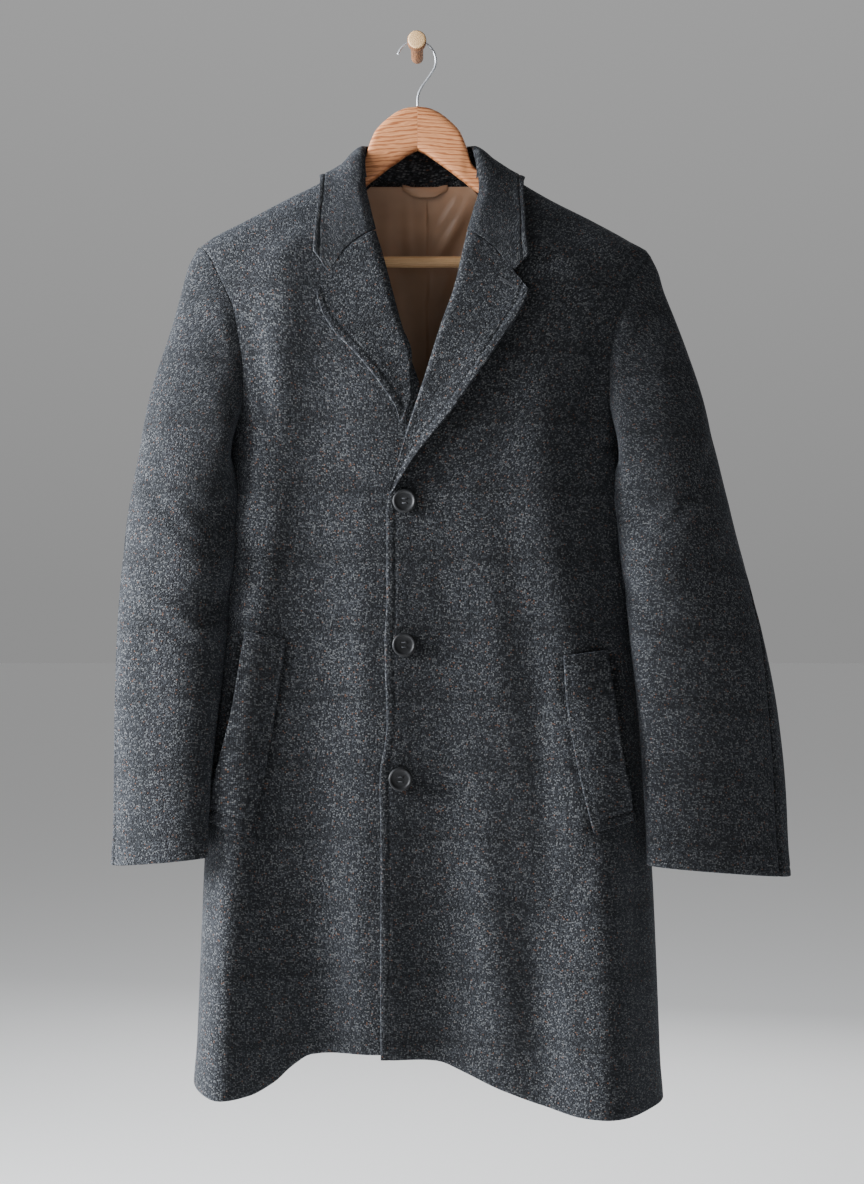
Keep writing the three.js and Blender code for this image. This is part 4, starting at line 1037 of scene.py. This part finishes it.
LAPEL = {
    "right": Table("t rollX rollZ edgeX edgeZ lift", [
        [0, -42, -208, -103.3, -275.6, 2.4], [0.15, -35, -232, -98, -292, 2.6], [0.32, -25, -270, -84, -314, 2.8],
        [0.5, -15, -307, -61, -338, 2.6], [0.68, -5, -338, -34.6, -372, 1.8], [0.85, -4.5, -376, -20, -396, 1],
        [1, -14.5, -408, -17, -409, 0],
    ]),
    "left": Table("t rollX rollZ edgeX edgeZ lift", [
        [0, 52, -209, 116, -272, 3], [0.12, 47, -231, 108.6, -291, 4], [0.28, 39, -266, 87, -325, 6],
        [0.45, 26.4, -302, 64.6, -356.6, 8], [0.62, 7.7, -362, 34, -400, 8], [0.8, -9, -413, -0.5, -441.6, 5],
        [1, -27, -476, -29, -487, 0.5],
    ]),
}
LAPEL_TOP = {
    "right": Table("s x z", [[0, -42, -208], [0.4, -70.8, -226.8], [0.74, -91.3, -250.8], [1, -103.3, -275.6]]),
    "left": Table("s x z", [[0, 52, -209], [0.4, 79, -226.8], [0.74, 100.3, -250.8], [1, 116, -272]]),
}
LAPEL_ROLL = Table("s away", [[0, 0.8], [0.03, 3.5], [0.1, 5.8], [0.35, 5.2], [0.6, 4.4], [1, 4.2]])


def lapel_place(wearer, t, s):
    line, top = LAPEL[wearer], LAPEL_TOP[wearer]
    near = (1 - t) ** 3
    x = mix(line.rollX(t), line.edgeX(t), s) + (top.x(s) - mix(line.rollX(0), line.edgeX(0), s)) * near
    z = mix(line.rollZ(t), line.edgeZ(t), s) + (top.z(s) - mix(line.rollZ(0), line.edgeZ(0), s)) * near
    return x, z


def lapel_points(wearer, t, s):
    x, z = lapel_place(wearer, np.maximum(t, 0), s)
    under = overlap(x, z) if wearer == "left" else 0 * x
    tucked = CLOTH + 0.8 if wearer == "right" else 0
    away = np.maximum(LAPEL_ROLL.away(s), tucked * smooth(0.45, 0.65, t))
    below = np.clip(-t / TUCK, 0, 1) * smooth(0.78, 0.7, s)
    away = under + away + LAPEL[wearer].lift(t) * s * s - 1.6 * below
    return laid_on(x, z, away) + below[..., None] * np.array([0.6 if wearer == "left" else -0.6, 0, 3.2])


def lapel_width(wearer, t):
    line = LAPEL[wearer]
    return np.hypot(line.edgeX(t) - line.rollX(t), line.edgeZ(t) - line.rollZ(t))


def make_lapel(wearer):
    t = np.union1d([-TUCK, -TUCK / 2], with_lips(np.linspace(0, 1, 96), 0.004))
    s = np.unique(np.concatenate([[0, 0.012, 0.03, 0.06], np.linspace(0.1, 0.8, 26), np.linspace(0.82, 0.98, 13), [0.99, 1]]))
    t, s = np.meshgrid(t, s, indexing="ij")
    grid = lapel_points(wearer, t, s)
    x, z = grid[..., 0], grid[..., 2]
    wide = lapel_width(wearer, t)
    from_edge = (1 - s) * wide
    groove = stitch_groove(from_edge) * smooth(14, 30, wide)
    out, _ = steepest(grid)
    thicker = EDGE_EXTRA * np.exp(-((from_edge / 13) ** 2)) * smooth(6, 30, wide)
    grid = grid + out * (groove + thicker)[..., None]
    lean = math.radians(24 if wearer == "left" else -24)
    uv = np.stack([x * math.cos(lean) - z * math.sin(lean), x * math.sin(lean) + z * math.cos(lean)], -1)
    made = shell(f"lapel_{wearer}_cloth", grid, out, CLOTH + thicker, TWEED, uv)
    finish_piece(made, "wool", f"lapel_{wearer}")


WELT_LONG = 186.0
WELT_WIDE = 42.0


def welt_points(wearer, t, s, extra=0.0):
    line = WELT[wearer]
    x = mix(line.closedX(t), line.openX(t), s)
    z = mix(line.closedZ(t), line.openZ(t), s)
    return laid_on(x, z, CLOTH + mix(*WELT_CLEAR, s) + WELT_GAPE[wearer].away(t) * s * s + extra)


def make_welt(wearer):
    t = np.unique(np.concatenate([np.linspace(0, 1, 74), [0.006, 0.04, 0.048, 0.053, 0.058, 0.066,
                                                          0.93, 0.938, 0.943, 0.948, 0.955, 0.994]]))
    s = with_lips(np.linspace(0, 1, 24), 0.02)
    t, s = np.meshgrid(t, s, indexing="ij")
    ends = np.minimum(np.abs(t * WELT_LONG - 10), np.abs((1 - t) * WELT_LONG - 11))
    sides = np.minimum(s, 1 - s) * WELT_WIDE
    groove = -1.4 * np.exp(-((ends / 1.6) ** 2)) - 0.5 * np.exp(-(((sides - 5) / 1.6) ** 2))
    grid = welt_points(wearer, t, s, groove)
    uv = np.stack([s * WELT_WIDE, -t * WELT_LONG], -1)
    made = shell(f"pocket_welt_{wearer}_cloth", grid, steepest(grid)[0], WELT_THICK, TWEED, uv)
    finish_piece(made, "wool", f"pocket_welt_{wearer}")


LINING_GAP = 1.2
PLEAT_X = 11.0
PLEAT_DEEP = 4.0
LINING_CREASES = [
    (-60, -160, -26, -330, 12, 4.5), (62, -150, 16, -232, 6, 5.5), (48, -152, 20, -196, 4, 3.5),
    (70, -190, 22, -290, 7, 4.5), (-34, -158, -30, -300, 8, 3.0), (40, -250, 34, -430, 9, 3.5),
    (-12, -156, -6, -250, 6, 1.8), (-14, -300, -16, -440, 10, 3.0),
]


def make_lining():
    z = with_lips(levels([-144.5, -465], 4), 0.8)[::-1]
    share = with_lips(np.linspace(-1, 1, 170), 0.01)
    reach = mix(0.52, 0.7, smooth(-150, -260, z))
    s = section(z)
    x = s["middle"][:, None] + (s["half"] * reach)[:, None] * share[None, :]
    z = np.broadcast_to(z[:, None], x.shape)
    p = surface(x, z, False)
    pleat = PLEAT_DEEP * np.exp(-(((x - PLEAT_X) / 13) ** 2)) * smooth(-155, -200, z)
    edge = np.where(x > PLEAT_X, 3.4 * np.exp(-np.abs(x - PLEAT_X) / 6), 0) * smooth(-152, -175, z)
    folds = np.clip(crease_height(LINING_CREASES, x, z), -0.6, 6)
    out, _ = steepest(p)
    grid = p - out * (CLOTH + LINING_GAP + pleat - edge + folds)[..., None]
    uv = np.stack([x, z], -1)
    made = shell("lining_back_satin", grid, -out, -LINING, SATIN, uv)
    finish_piece(made, "lining", "lining_back")


LOOP_ROUTE = [
    (-16, -17, -145), (-11, -18.6, -147.2), (-5, -20, -149.8), (1, -20.8, -150.9), (8, -21, -151.1),
    (15, -20.8, -150.9), (21, -20, -149.8), (27, -18.6, -147.2), (33, -17, -145),
]


def make_hang_loop():
    t = np.linspace(0, 1, 60)
    path = smooth_path(LOOP_ROUTE, 60)
    across = with_lips(np.linspace(-1, 1, 9), 0.12)
    belly = 0.9 * np.cos(across * np.pi / 2)
    width = mix(5.4, 3.2, np.abs(2 * t - 1) ** 2)
    grid = path[:, None, :] + np.stack([0 * across, -belly, across], -1)[None] * np.stack([width, 1 + 0 * t, width], -1)[:, None, :]
    out = grid_normals(grid, np.broadcast_to([0.0, -1.0, 0.0], grid.shape))
    uv = np.stack([np.broadcast_to(t[:, None] * 50, grid.shape[:2]), np.broadcast_to(across * 4, grid.shape[:2])], -1)
    made = shell("hang_loop_satin", grid, out, LINING * 1.4, SATIN, uv)
    finish_piece(made, "lining", "hang_loop")


# Buttons, thread and buttonholes

def make_stitches(name, path, out, pitch, length, radius, slot, turn=0.0):
    """Short sewn threads along a path, joined in one mesh. turn sets them across the path, in radians."""
    run = np.concatenate([[0], np.cumsum(np.linalg.norm(np.diff(path, axis=0), axis=1))])
    places = np.arange(pitch / 2, run[-1], pitch)
    points, faces = [], []
    sides = 6
    ring = np.linspace(0, 2 * np.pi, sides, endpoint=False)
    shape = [(-0.5, 0.05, -0.5), (-0.38, 0.8, 0.1), (-0.15, 1, 0.45), (0.15, 1, 0.45), (0.38, 0.8, 0.1), (0.5, 0.05, -0.5)]
    for at in places:
        p = np.array([np.interp(at, run, path[:, k]) for k in range(3)])
        ahead = np.array([np.interp(min(at + 1, run[-1]), run, path[:, k]) for k in range(3)])
        behind = np.array([np.interp(max(at - 1, 0), run, path[:, k]) for k in range(3)])
        along = unit(ahead - behind)
        up = unit(np.array([np.interp(at, run, out[:, k]) for k in range(3)]))
        side = unit(np.cross(along, up))
        along = along * math.cos(turn) + side * math.sin(turn)
        side = np.cross(along, up)
        first = len(points)
        for shift, size, rise in shape:
            centre = p + along * shift * length + up * rise * radius
            for a in ring:
                points.append(centre + radius * size * (math.cos(a) * side + math.sin(a) * up))
        for r in range(len(shape) - 1):
            for i in range(sides):
                j = (i + 1) % sides
                faces.append([first + r * sides + i, first + r * sides + j, first + (r + 1) * sides + j, first + (r + 1) * sides + i])
        faces.append([first + i for i in range(sides)][::-1])
        faces.append([first + (len(shape) - 1) * sides + i for i in range(sides)])
    made = turn_out(make_object(name, points, faces, THREAD))
    return finish_piece(made, slot)


def lathe(name, profile, origin, axis, material, sides=48):
    """A turned solid: profile rows are (radius, height along the axis)."""
    axis = unit(np.asarray(axis, float))
    side = unit(np.cross(axis, [0.3, 0.1, 1.0]))
    up = np.cross(axis, side)
    turns = np.linspace(0, 2 * np.pi, sides, endpoint=False)
    wheel = np.cos(turns)[:, None] * side + np.sin(turns)[:, None] * up
    rings = [np.asarray(origin) + axis * h + wheel * r for r, h in profile]
    return loft(name, rings, material)


BUTTON_PROFILE = [
    (0.5, 0), (8.2, 0), (10.4, 0.25), (11.8, 0.9), (12.45, 1.8), (12.4, 2.7), (11.9, 3.5), (11.1, 3.95), (10.2, 4.0),
    (9.5, 3.7), (9.0, 3.1), (8.3, 2.7), (6.5, 2.5), (3.2, 2.45), (0.5, 2.45),
]
BUTTON_HOLE = 1.05
HOLE_SPREAD = 2.4


def cut(made, cutter):
    """Cuts one closed piece out of another."""
    modifier = made.modifiers.new("cut", "BOOLEAN")
    modifier.operation = "DIFFERENCE"
    modifier.solver = "EXACT"
    modifier.object = cutter
    bpy.context.view_layer.update()
    shape = bpy.data.meshes.new_from_object(made.evaluated_get(bpy.context.evaluated_depsgraph_get()))
    made.modifiers.clear()
    made.data = shape
    bpy.data.objects.remove(cutter)


def make_buttons():
    for name, (x, z) in BUTTONS.items():
        base = surface(x, z)
        out = steepest(base)[0]
        side = unit(np.cross(out, [0.0, 0.0, 1.0]))
        up = np.cross(side, out)
        lift = CLOTH + LAYER + CLOTH * 0.2 + 1.2
        origin = base + out * lift
        made = lathe(f"{name}_horn", BUTTON_PROFILE, origin, out, HORN, 64)
        spots = [origin + side * a * HOLE_SPREAD + up * b * HOLE_SPREAD for a in (-1, 1) for b in (-1, 1)]
        for spot in spots:
            hole = [(BUTTON_HOLE, -2), (BUTTON_HOLE, 2.2), (BUTTON_HOLE * 1.25, 2.6), (BUTTON_HOLE * 1.25, 8)]
            cut(made, lathe("hole", hole, spot, out, HORN, 16))
        made.data.shade_smooth()
        made.data.set_sharp_from_angle(angle=math.radians(40))
        finish_piece(made, "buttons", name)
        for k, b in enumerate((0, 1)):
            ends = [spots[b], spots[b + 2]]
            arc = [ends[0] + out * 0.6, ends[0] + out * 2.5, (ends[0] + ends[1]) / 2 + out * 3.1, ends[1] + out * 2.5,
                   ends[1] + out * 0.6]
            bar = tube(f"{name}_thread_{k + 1}", smooth_path(arc, 18), 0.62, THREAD, 8)
            finish_piece(bar, "buttons")
        shank = [base + out * (CLOTH + LAYER - 0.6), origin + out * 0.4]
        finish_piece(tube(f"{name}_shank", smooth_path(shank, 6), 1.9, THREAD, 10), "buttons")


def make_buttonholes():
    """Worked holes: thread close together round a slot, at each button and on the top lapel."""
    for name, (x, z) in BUTTONS.items():
        ends = np.array([[x - 15.5, z], [x + 8, z]])
        for side in (-1, 1):
            along = np.linspace(0, 1, 24)
            px = mix(ends[0, 0], ends[1, 0], along)
            pz = z + side * 1.0 + 0 * along
            path = laid_on(px, pz, overlap(px, pz) + 0.15)
            out = steepest(path)[0]
            make_stitches(f"{name}_hole_{'low' if side < 0 else 'high'}", path, out, 0.85, 2.2, 0.38, "wool", math.pi / 2)
    t0, s0, t1, s1 = 0.10, 0.60, 0.06, 0.87
    for side in (-1, 1):
        along = np.linspace(0, 1, 24)
        path = lapel_points("left", mix(t0, t1, along) + side * 0.0045, mix(s0, s1, along))
        out = steepest(path)[0]
        make_stitches(f"lapel_hole_{'low' if side < 0 else 'high'}", path, out, 0.85, 2.2, 0.38, "wool", math.pi / 2)


def make_seam_stitches():
    z = np.linspace(-496, -1062, 300)
    start = FRONT_EDGE["left"].x(z) + STITCH_INSET
    path = laid_on(start, z, overlap(start, z) - 0.75)
    make_stitches("stitches_front_edge", path, steepest(path)[0], 5.2, 3.3, 0.34, "wool")
    for wearer in ("left", "right"):
        t = np.linspace(0.02, 0.9 if wearer == "left" else 0.84, 200)
        s = 1 - STITCH_INSET / np.maximum(lapel_width(wearer, t), STITCH_INSET + 2)
        path = lapel_points(wearer, t, s)
        out = steepest(path)[0]
        path = path - out * 0.75
        make_stitches(f"stitches_lapel_{wearer}", path, out, 5.2, 3.3, 0.34, "wool")
        for end, at in (("top", 10 / WELT_LONG), ("bottom", 1 - 11 / WELT_LONG)):
            s = np.linspace(0.04, 0.96, 60)
            path = welt_points(wearer, np.full(60, at), s, -0.75)
            make_stitches(f"stitches_welt_{wearer}_{end}", path, steepest(path)[0], 4.6, 3.0, 0.34, "wool")


# Hanger, hook and peg

HANGER_Y = -38.0
HANGER_MIDDLE = 0.5
ARM = Table("x top bottom thick", [
    [0.05, -63, -109, 9], [10, -64, -114, 9], [20, -67.5, -121, 9], [30, -74, -128, 9], [38, -81, -134, 9],
    [45, -89, -139.5, 9], [50, -99, -143, 8.5], [53, -108, -146, 8], [58, -124, -149.5, 8], [68, -133, -157, 8.5],
    [80, -141, -165, 8.5], [110, -157, -180, 8.5], [150, -178, -199, 8], [190, -199, -220, 7.5], [200, -206, -218, 6],
])


def make_hanger():
    turns = np.linspace(0, 2 * np.pi, 40, endpoint=False)
    for wearer, sign in (("right", -1), ("left", 1)):
        rings = []
        for x in with_lips(np.linspace(0.05, 200, 110), 0.1, 0.8):
            top, bottom, thick = ARM.top(x), ARM.bottom(x), ARM.thick(x)
            end = 1 - 0.5 * smooth(194, 200, x)
            y = HANGER_Y + thick * end * power(np.cos(turns), 0.42)
            z = (top + bottom) / 2 + (top - bottom) / 2 * end * power(np.sin(turns), 0.42)
            rings.append(np.stack([np.full(turns.shape, HANGER_MIDDLE + sign * x), y, z], -1))
        made = loft(f"hanger_half_{wearer}", rings, HANGER_WOODS[wearer])
        finish_piece(made, "hanger_wood", f"hanger_arm_{wearer}")
    steps = np.linspace(-189.2, 189.2, 60)
    path = np.stack([HANGER_MIDDLE + steps, np.full(60, HANGER_Y), np.full(60, -229.0)], -1)
    # The dowel's wood colour carries painted light, raised to offset the shade it hangs in.
    finish_piece(tube("hanger_dowel", path, BAR_RADIUS, BAR_WOOD_PAINTED_LIGHT, 28), "bar_wood", "hanger_bar")


HOOK_CENTRE = (-0.8, -12.4)
HOOK_RADIUS = 21.0


def make_hook():
    turns = np.radians(np.arange(160, -41, -20))
    route = [(HOOK_CENTRE[0] + HOOK_RADIUS * math.cos(a), -36, HOOK_CENTRE[1] + HOOK_RADIUS * math.sin(a)) for a in turns]
    for x, z in ((10.5, -33), (4.6, -41.5), (1.2, -50), (0.5, -56), (0.5, -61.6)):
        route.append((x, mix(-36, HANGER_Y, (z + 33) / -28.6), z))
    made = tube("hook_wire", smooth_path(route, 110), WIRE / 2 * 0.96, STEEL, 16)
    finish_piece(made, "steel", "hanger_hook")


def peg_face():
    material, nodes, links, shader = new_material("peg_face", Roughness=0.55)
    place = nodes.new("ShaderNodeTexCoord")
    rings = node(nodes, "ShaderNodeTexWave", wave_type="RINGS", rings_direction="Y", Scale=150.0, Distortion=2.5,
                 Detail=2.0)
    shifted = node(nodes, "ShaderNodeMapping")
    shifted.inputs["Location"].default_value = (0.006, 0, 0.004)
    links.new(place.outputs["Object"], shifted.inputs["Vector"])
    links.new(shifted.outputs[0], rings.inputs["Vector"])
    pores = node(nodes, "ShaderNodeTexNoise", Scale=700.0, Detail=3.0)
    links.new(place.outputs["Object"], pores.inputs["Vector"])
    figure = arithmetic(nodes, links, "MULTIPLY", rings.outputs[1], 0.5)
    specks = arithmetic(nodes, links, "MULTIPLY", pores.outputs[0], 0.5)
    figure = arithmetic(nodes, links, "ADD", figure, specks)
    colours = ramp(nodes, [(0.2, (0.56, 0.33, 0.145)), (0.8, (0.74, 0.50, 0.26))])
    links.new(figure, colours.inputs[0])
    links.new(colours.outputs[0], shader.inputs["Base Color"])
    bump(nodes, links, shader, figure, 0.15, 0.0004)
    return material


def make_peg():
    profile = [(0.4, 0.0), (6.3, 0.0), (6.5, 0.3), (6.55, 20), (6.6, 34), (6.6, 44), (6.9, 48.5), (7.5, 52.5), (8.5, 56),
               (9.4, 59.2), (9.9, 62.2), (10, 65), (10, 71.6), (9.85, 73), (9.4, 74.2), (8.7, 74.8), (7.8, 75.0), (0.4, 75.0)]
    made = lathe("peg_turned", profile, (0, 0, 0), (0, -1, 0), PEG_SIDE_PAINTED_SHADE, 64)
    made.data.materials.append(peg_face())
    # The face towards the camera takes the lighter face wood; the turned side keeps its painted shade.
    for face in made.data.polygons:
        centre = face.center
        face.material_index = int(centre.y < -0.0742 and face.normal.y < -0.6)
    finish_piece(made, "peg_wood", "wall_peg")


def stage():
    """A pale floor under the coat and soft light, strongest from the viewer's left."""
    mesh = bpy.data.meshes.new("floor")
    mesh.from_pydata([(-30, -30, -1.72), (30, -30, -1.72), (30, 30, -1.72), (-30, 30, -1.72)], [], [(0, 1, 2, 3)])
    floor = bpy.data.objects.new("floor", mesh)
    bpy.context.scene.collection.objects.link(floor)
    material, _, _, _ = new_material("floor_paint", Roughness=0.9, Base_Color=(0.93, 0.93, 0.925, 1))
    mesh.materials.append(material)
    world = bpy.data.worlds.new("studio")
    bpy.context.scene.world = world
    world.use_nodes = True
    nodes, links = world.node_tree.nodes, world.node_tree.links
    place = nodes.new("ShaderNodeTexCoord")
    apart = nodes.new("ShaderNodeSeparateXYZ")
    links.new(place.outputs["Generated"], apart.inputs[0])
    half = arithmetic(nodes, links, "MULTIPLY_ADD", apart.outputs[1], 0.5)
    nodes[-1].inputs[2].default_value = 0.5
    sky = ramp(nodes, [(0, (0.016, 0.0165, 0.018)), (0.45, (0.022, 0.023, 0.025)), (0.75, (0.20, 0.201, 0.203)),
                       (1, (0.30, 0.30, 0.30))])
    links.new(half, sky.inputs[0])
    above = arithmetic(nodes, links, "MULTIPLY", apart.outputs[2], 0.36, clamp=True)
    whole = blend_colours(nodes, links, "ADD", 1.0, sky.outputs[0], above)
    links.new(whole, nodes["Background"].inputs[0])
    nodes["Background"].inputs[1].default_value = 1.0
    lights = (
        ("key", (-2.1, -0.46, -0.25), 0.9, 270, (0.93, 0.96, 1.0)),
        ("side", (-2.4, -1.60, 0.45), 1.2, 58, (0.95, 0.97, 1.0)),
        ("fill", (0.9, -3.2, 0.5), 1.8, 5, (1.0, 0.98, 0.95)),
        ("back", (0.6, 2.6, 0.4), 2.4, 40, (1.0, 1.0, 1.0)),
    )
    for name, place, size, energy, colour in lights:
        data = bpy.data.lights.new(name, "AREA")
        data.shape = "SQUARE"
        data.size = size
        data.energy = energy
        data.color = colour
        lamp = bpy.data.objects.new(name, data)
        lamp.location = place
        aim = Vector((0, -0.05, -0.55)) - Vector(place)
        lamp.rotation_euler = aim.to_track_quat("-Z", "Y").to_euler()
        bpy.context.scene.collection.objects.link(lamp)


make_front("left")
make_front("right")
make_back()
make_sleeve("left")
make_sleeve("right")
make_collar()
make_lapel("left")
make_lapel("right")
make_welt("left")
make_welt("right")
make_lining()
make_hang_loop()
make_buttons()
make_buttonholes()
make_seam_stitches()
make_hanger()
make_hook()
make_peg()
stage()
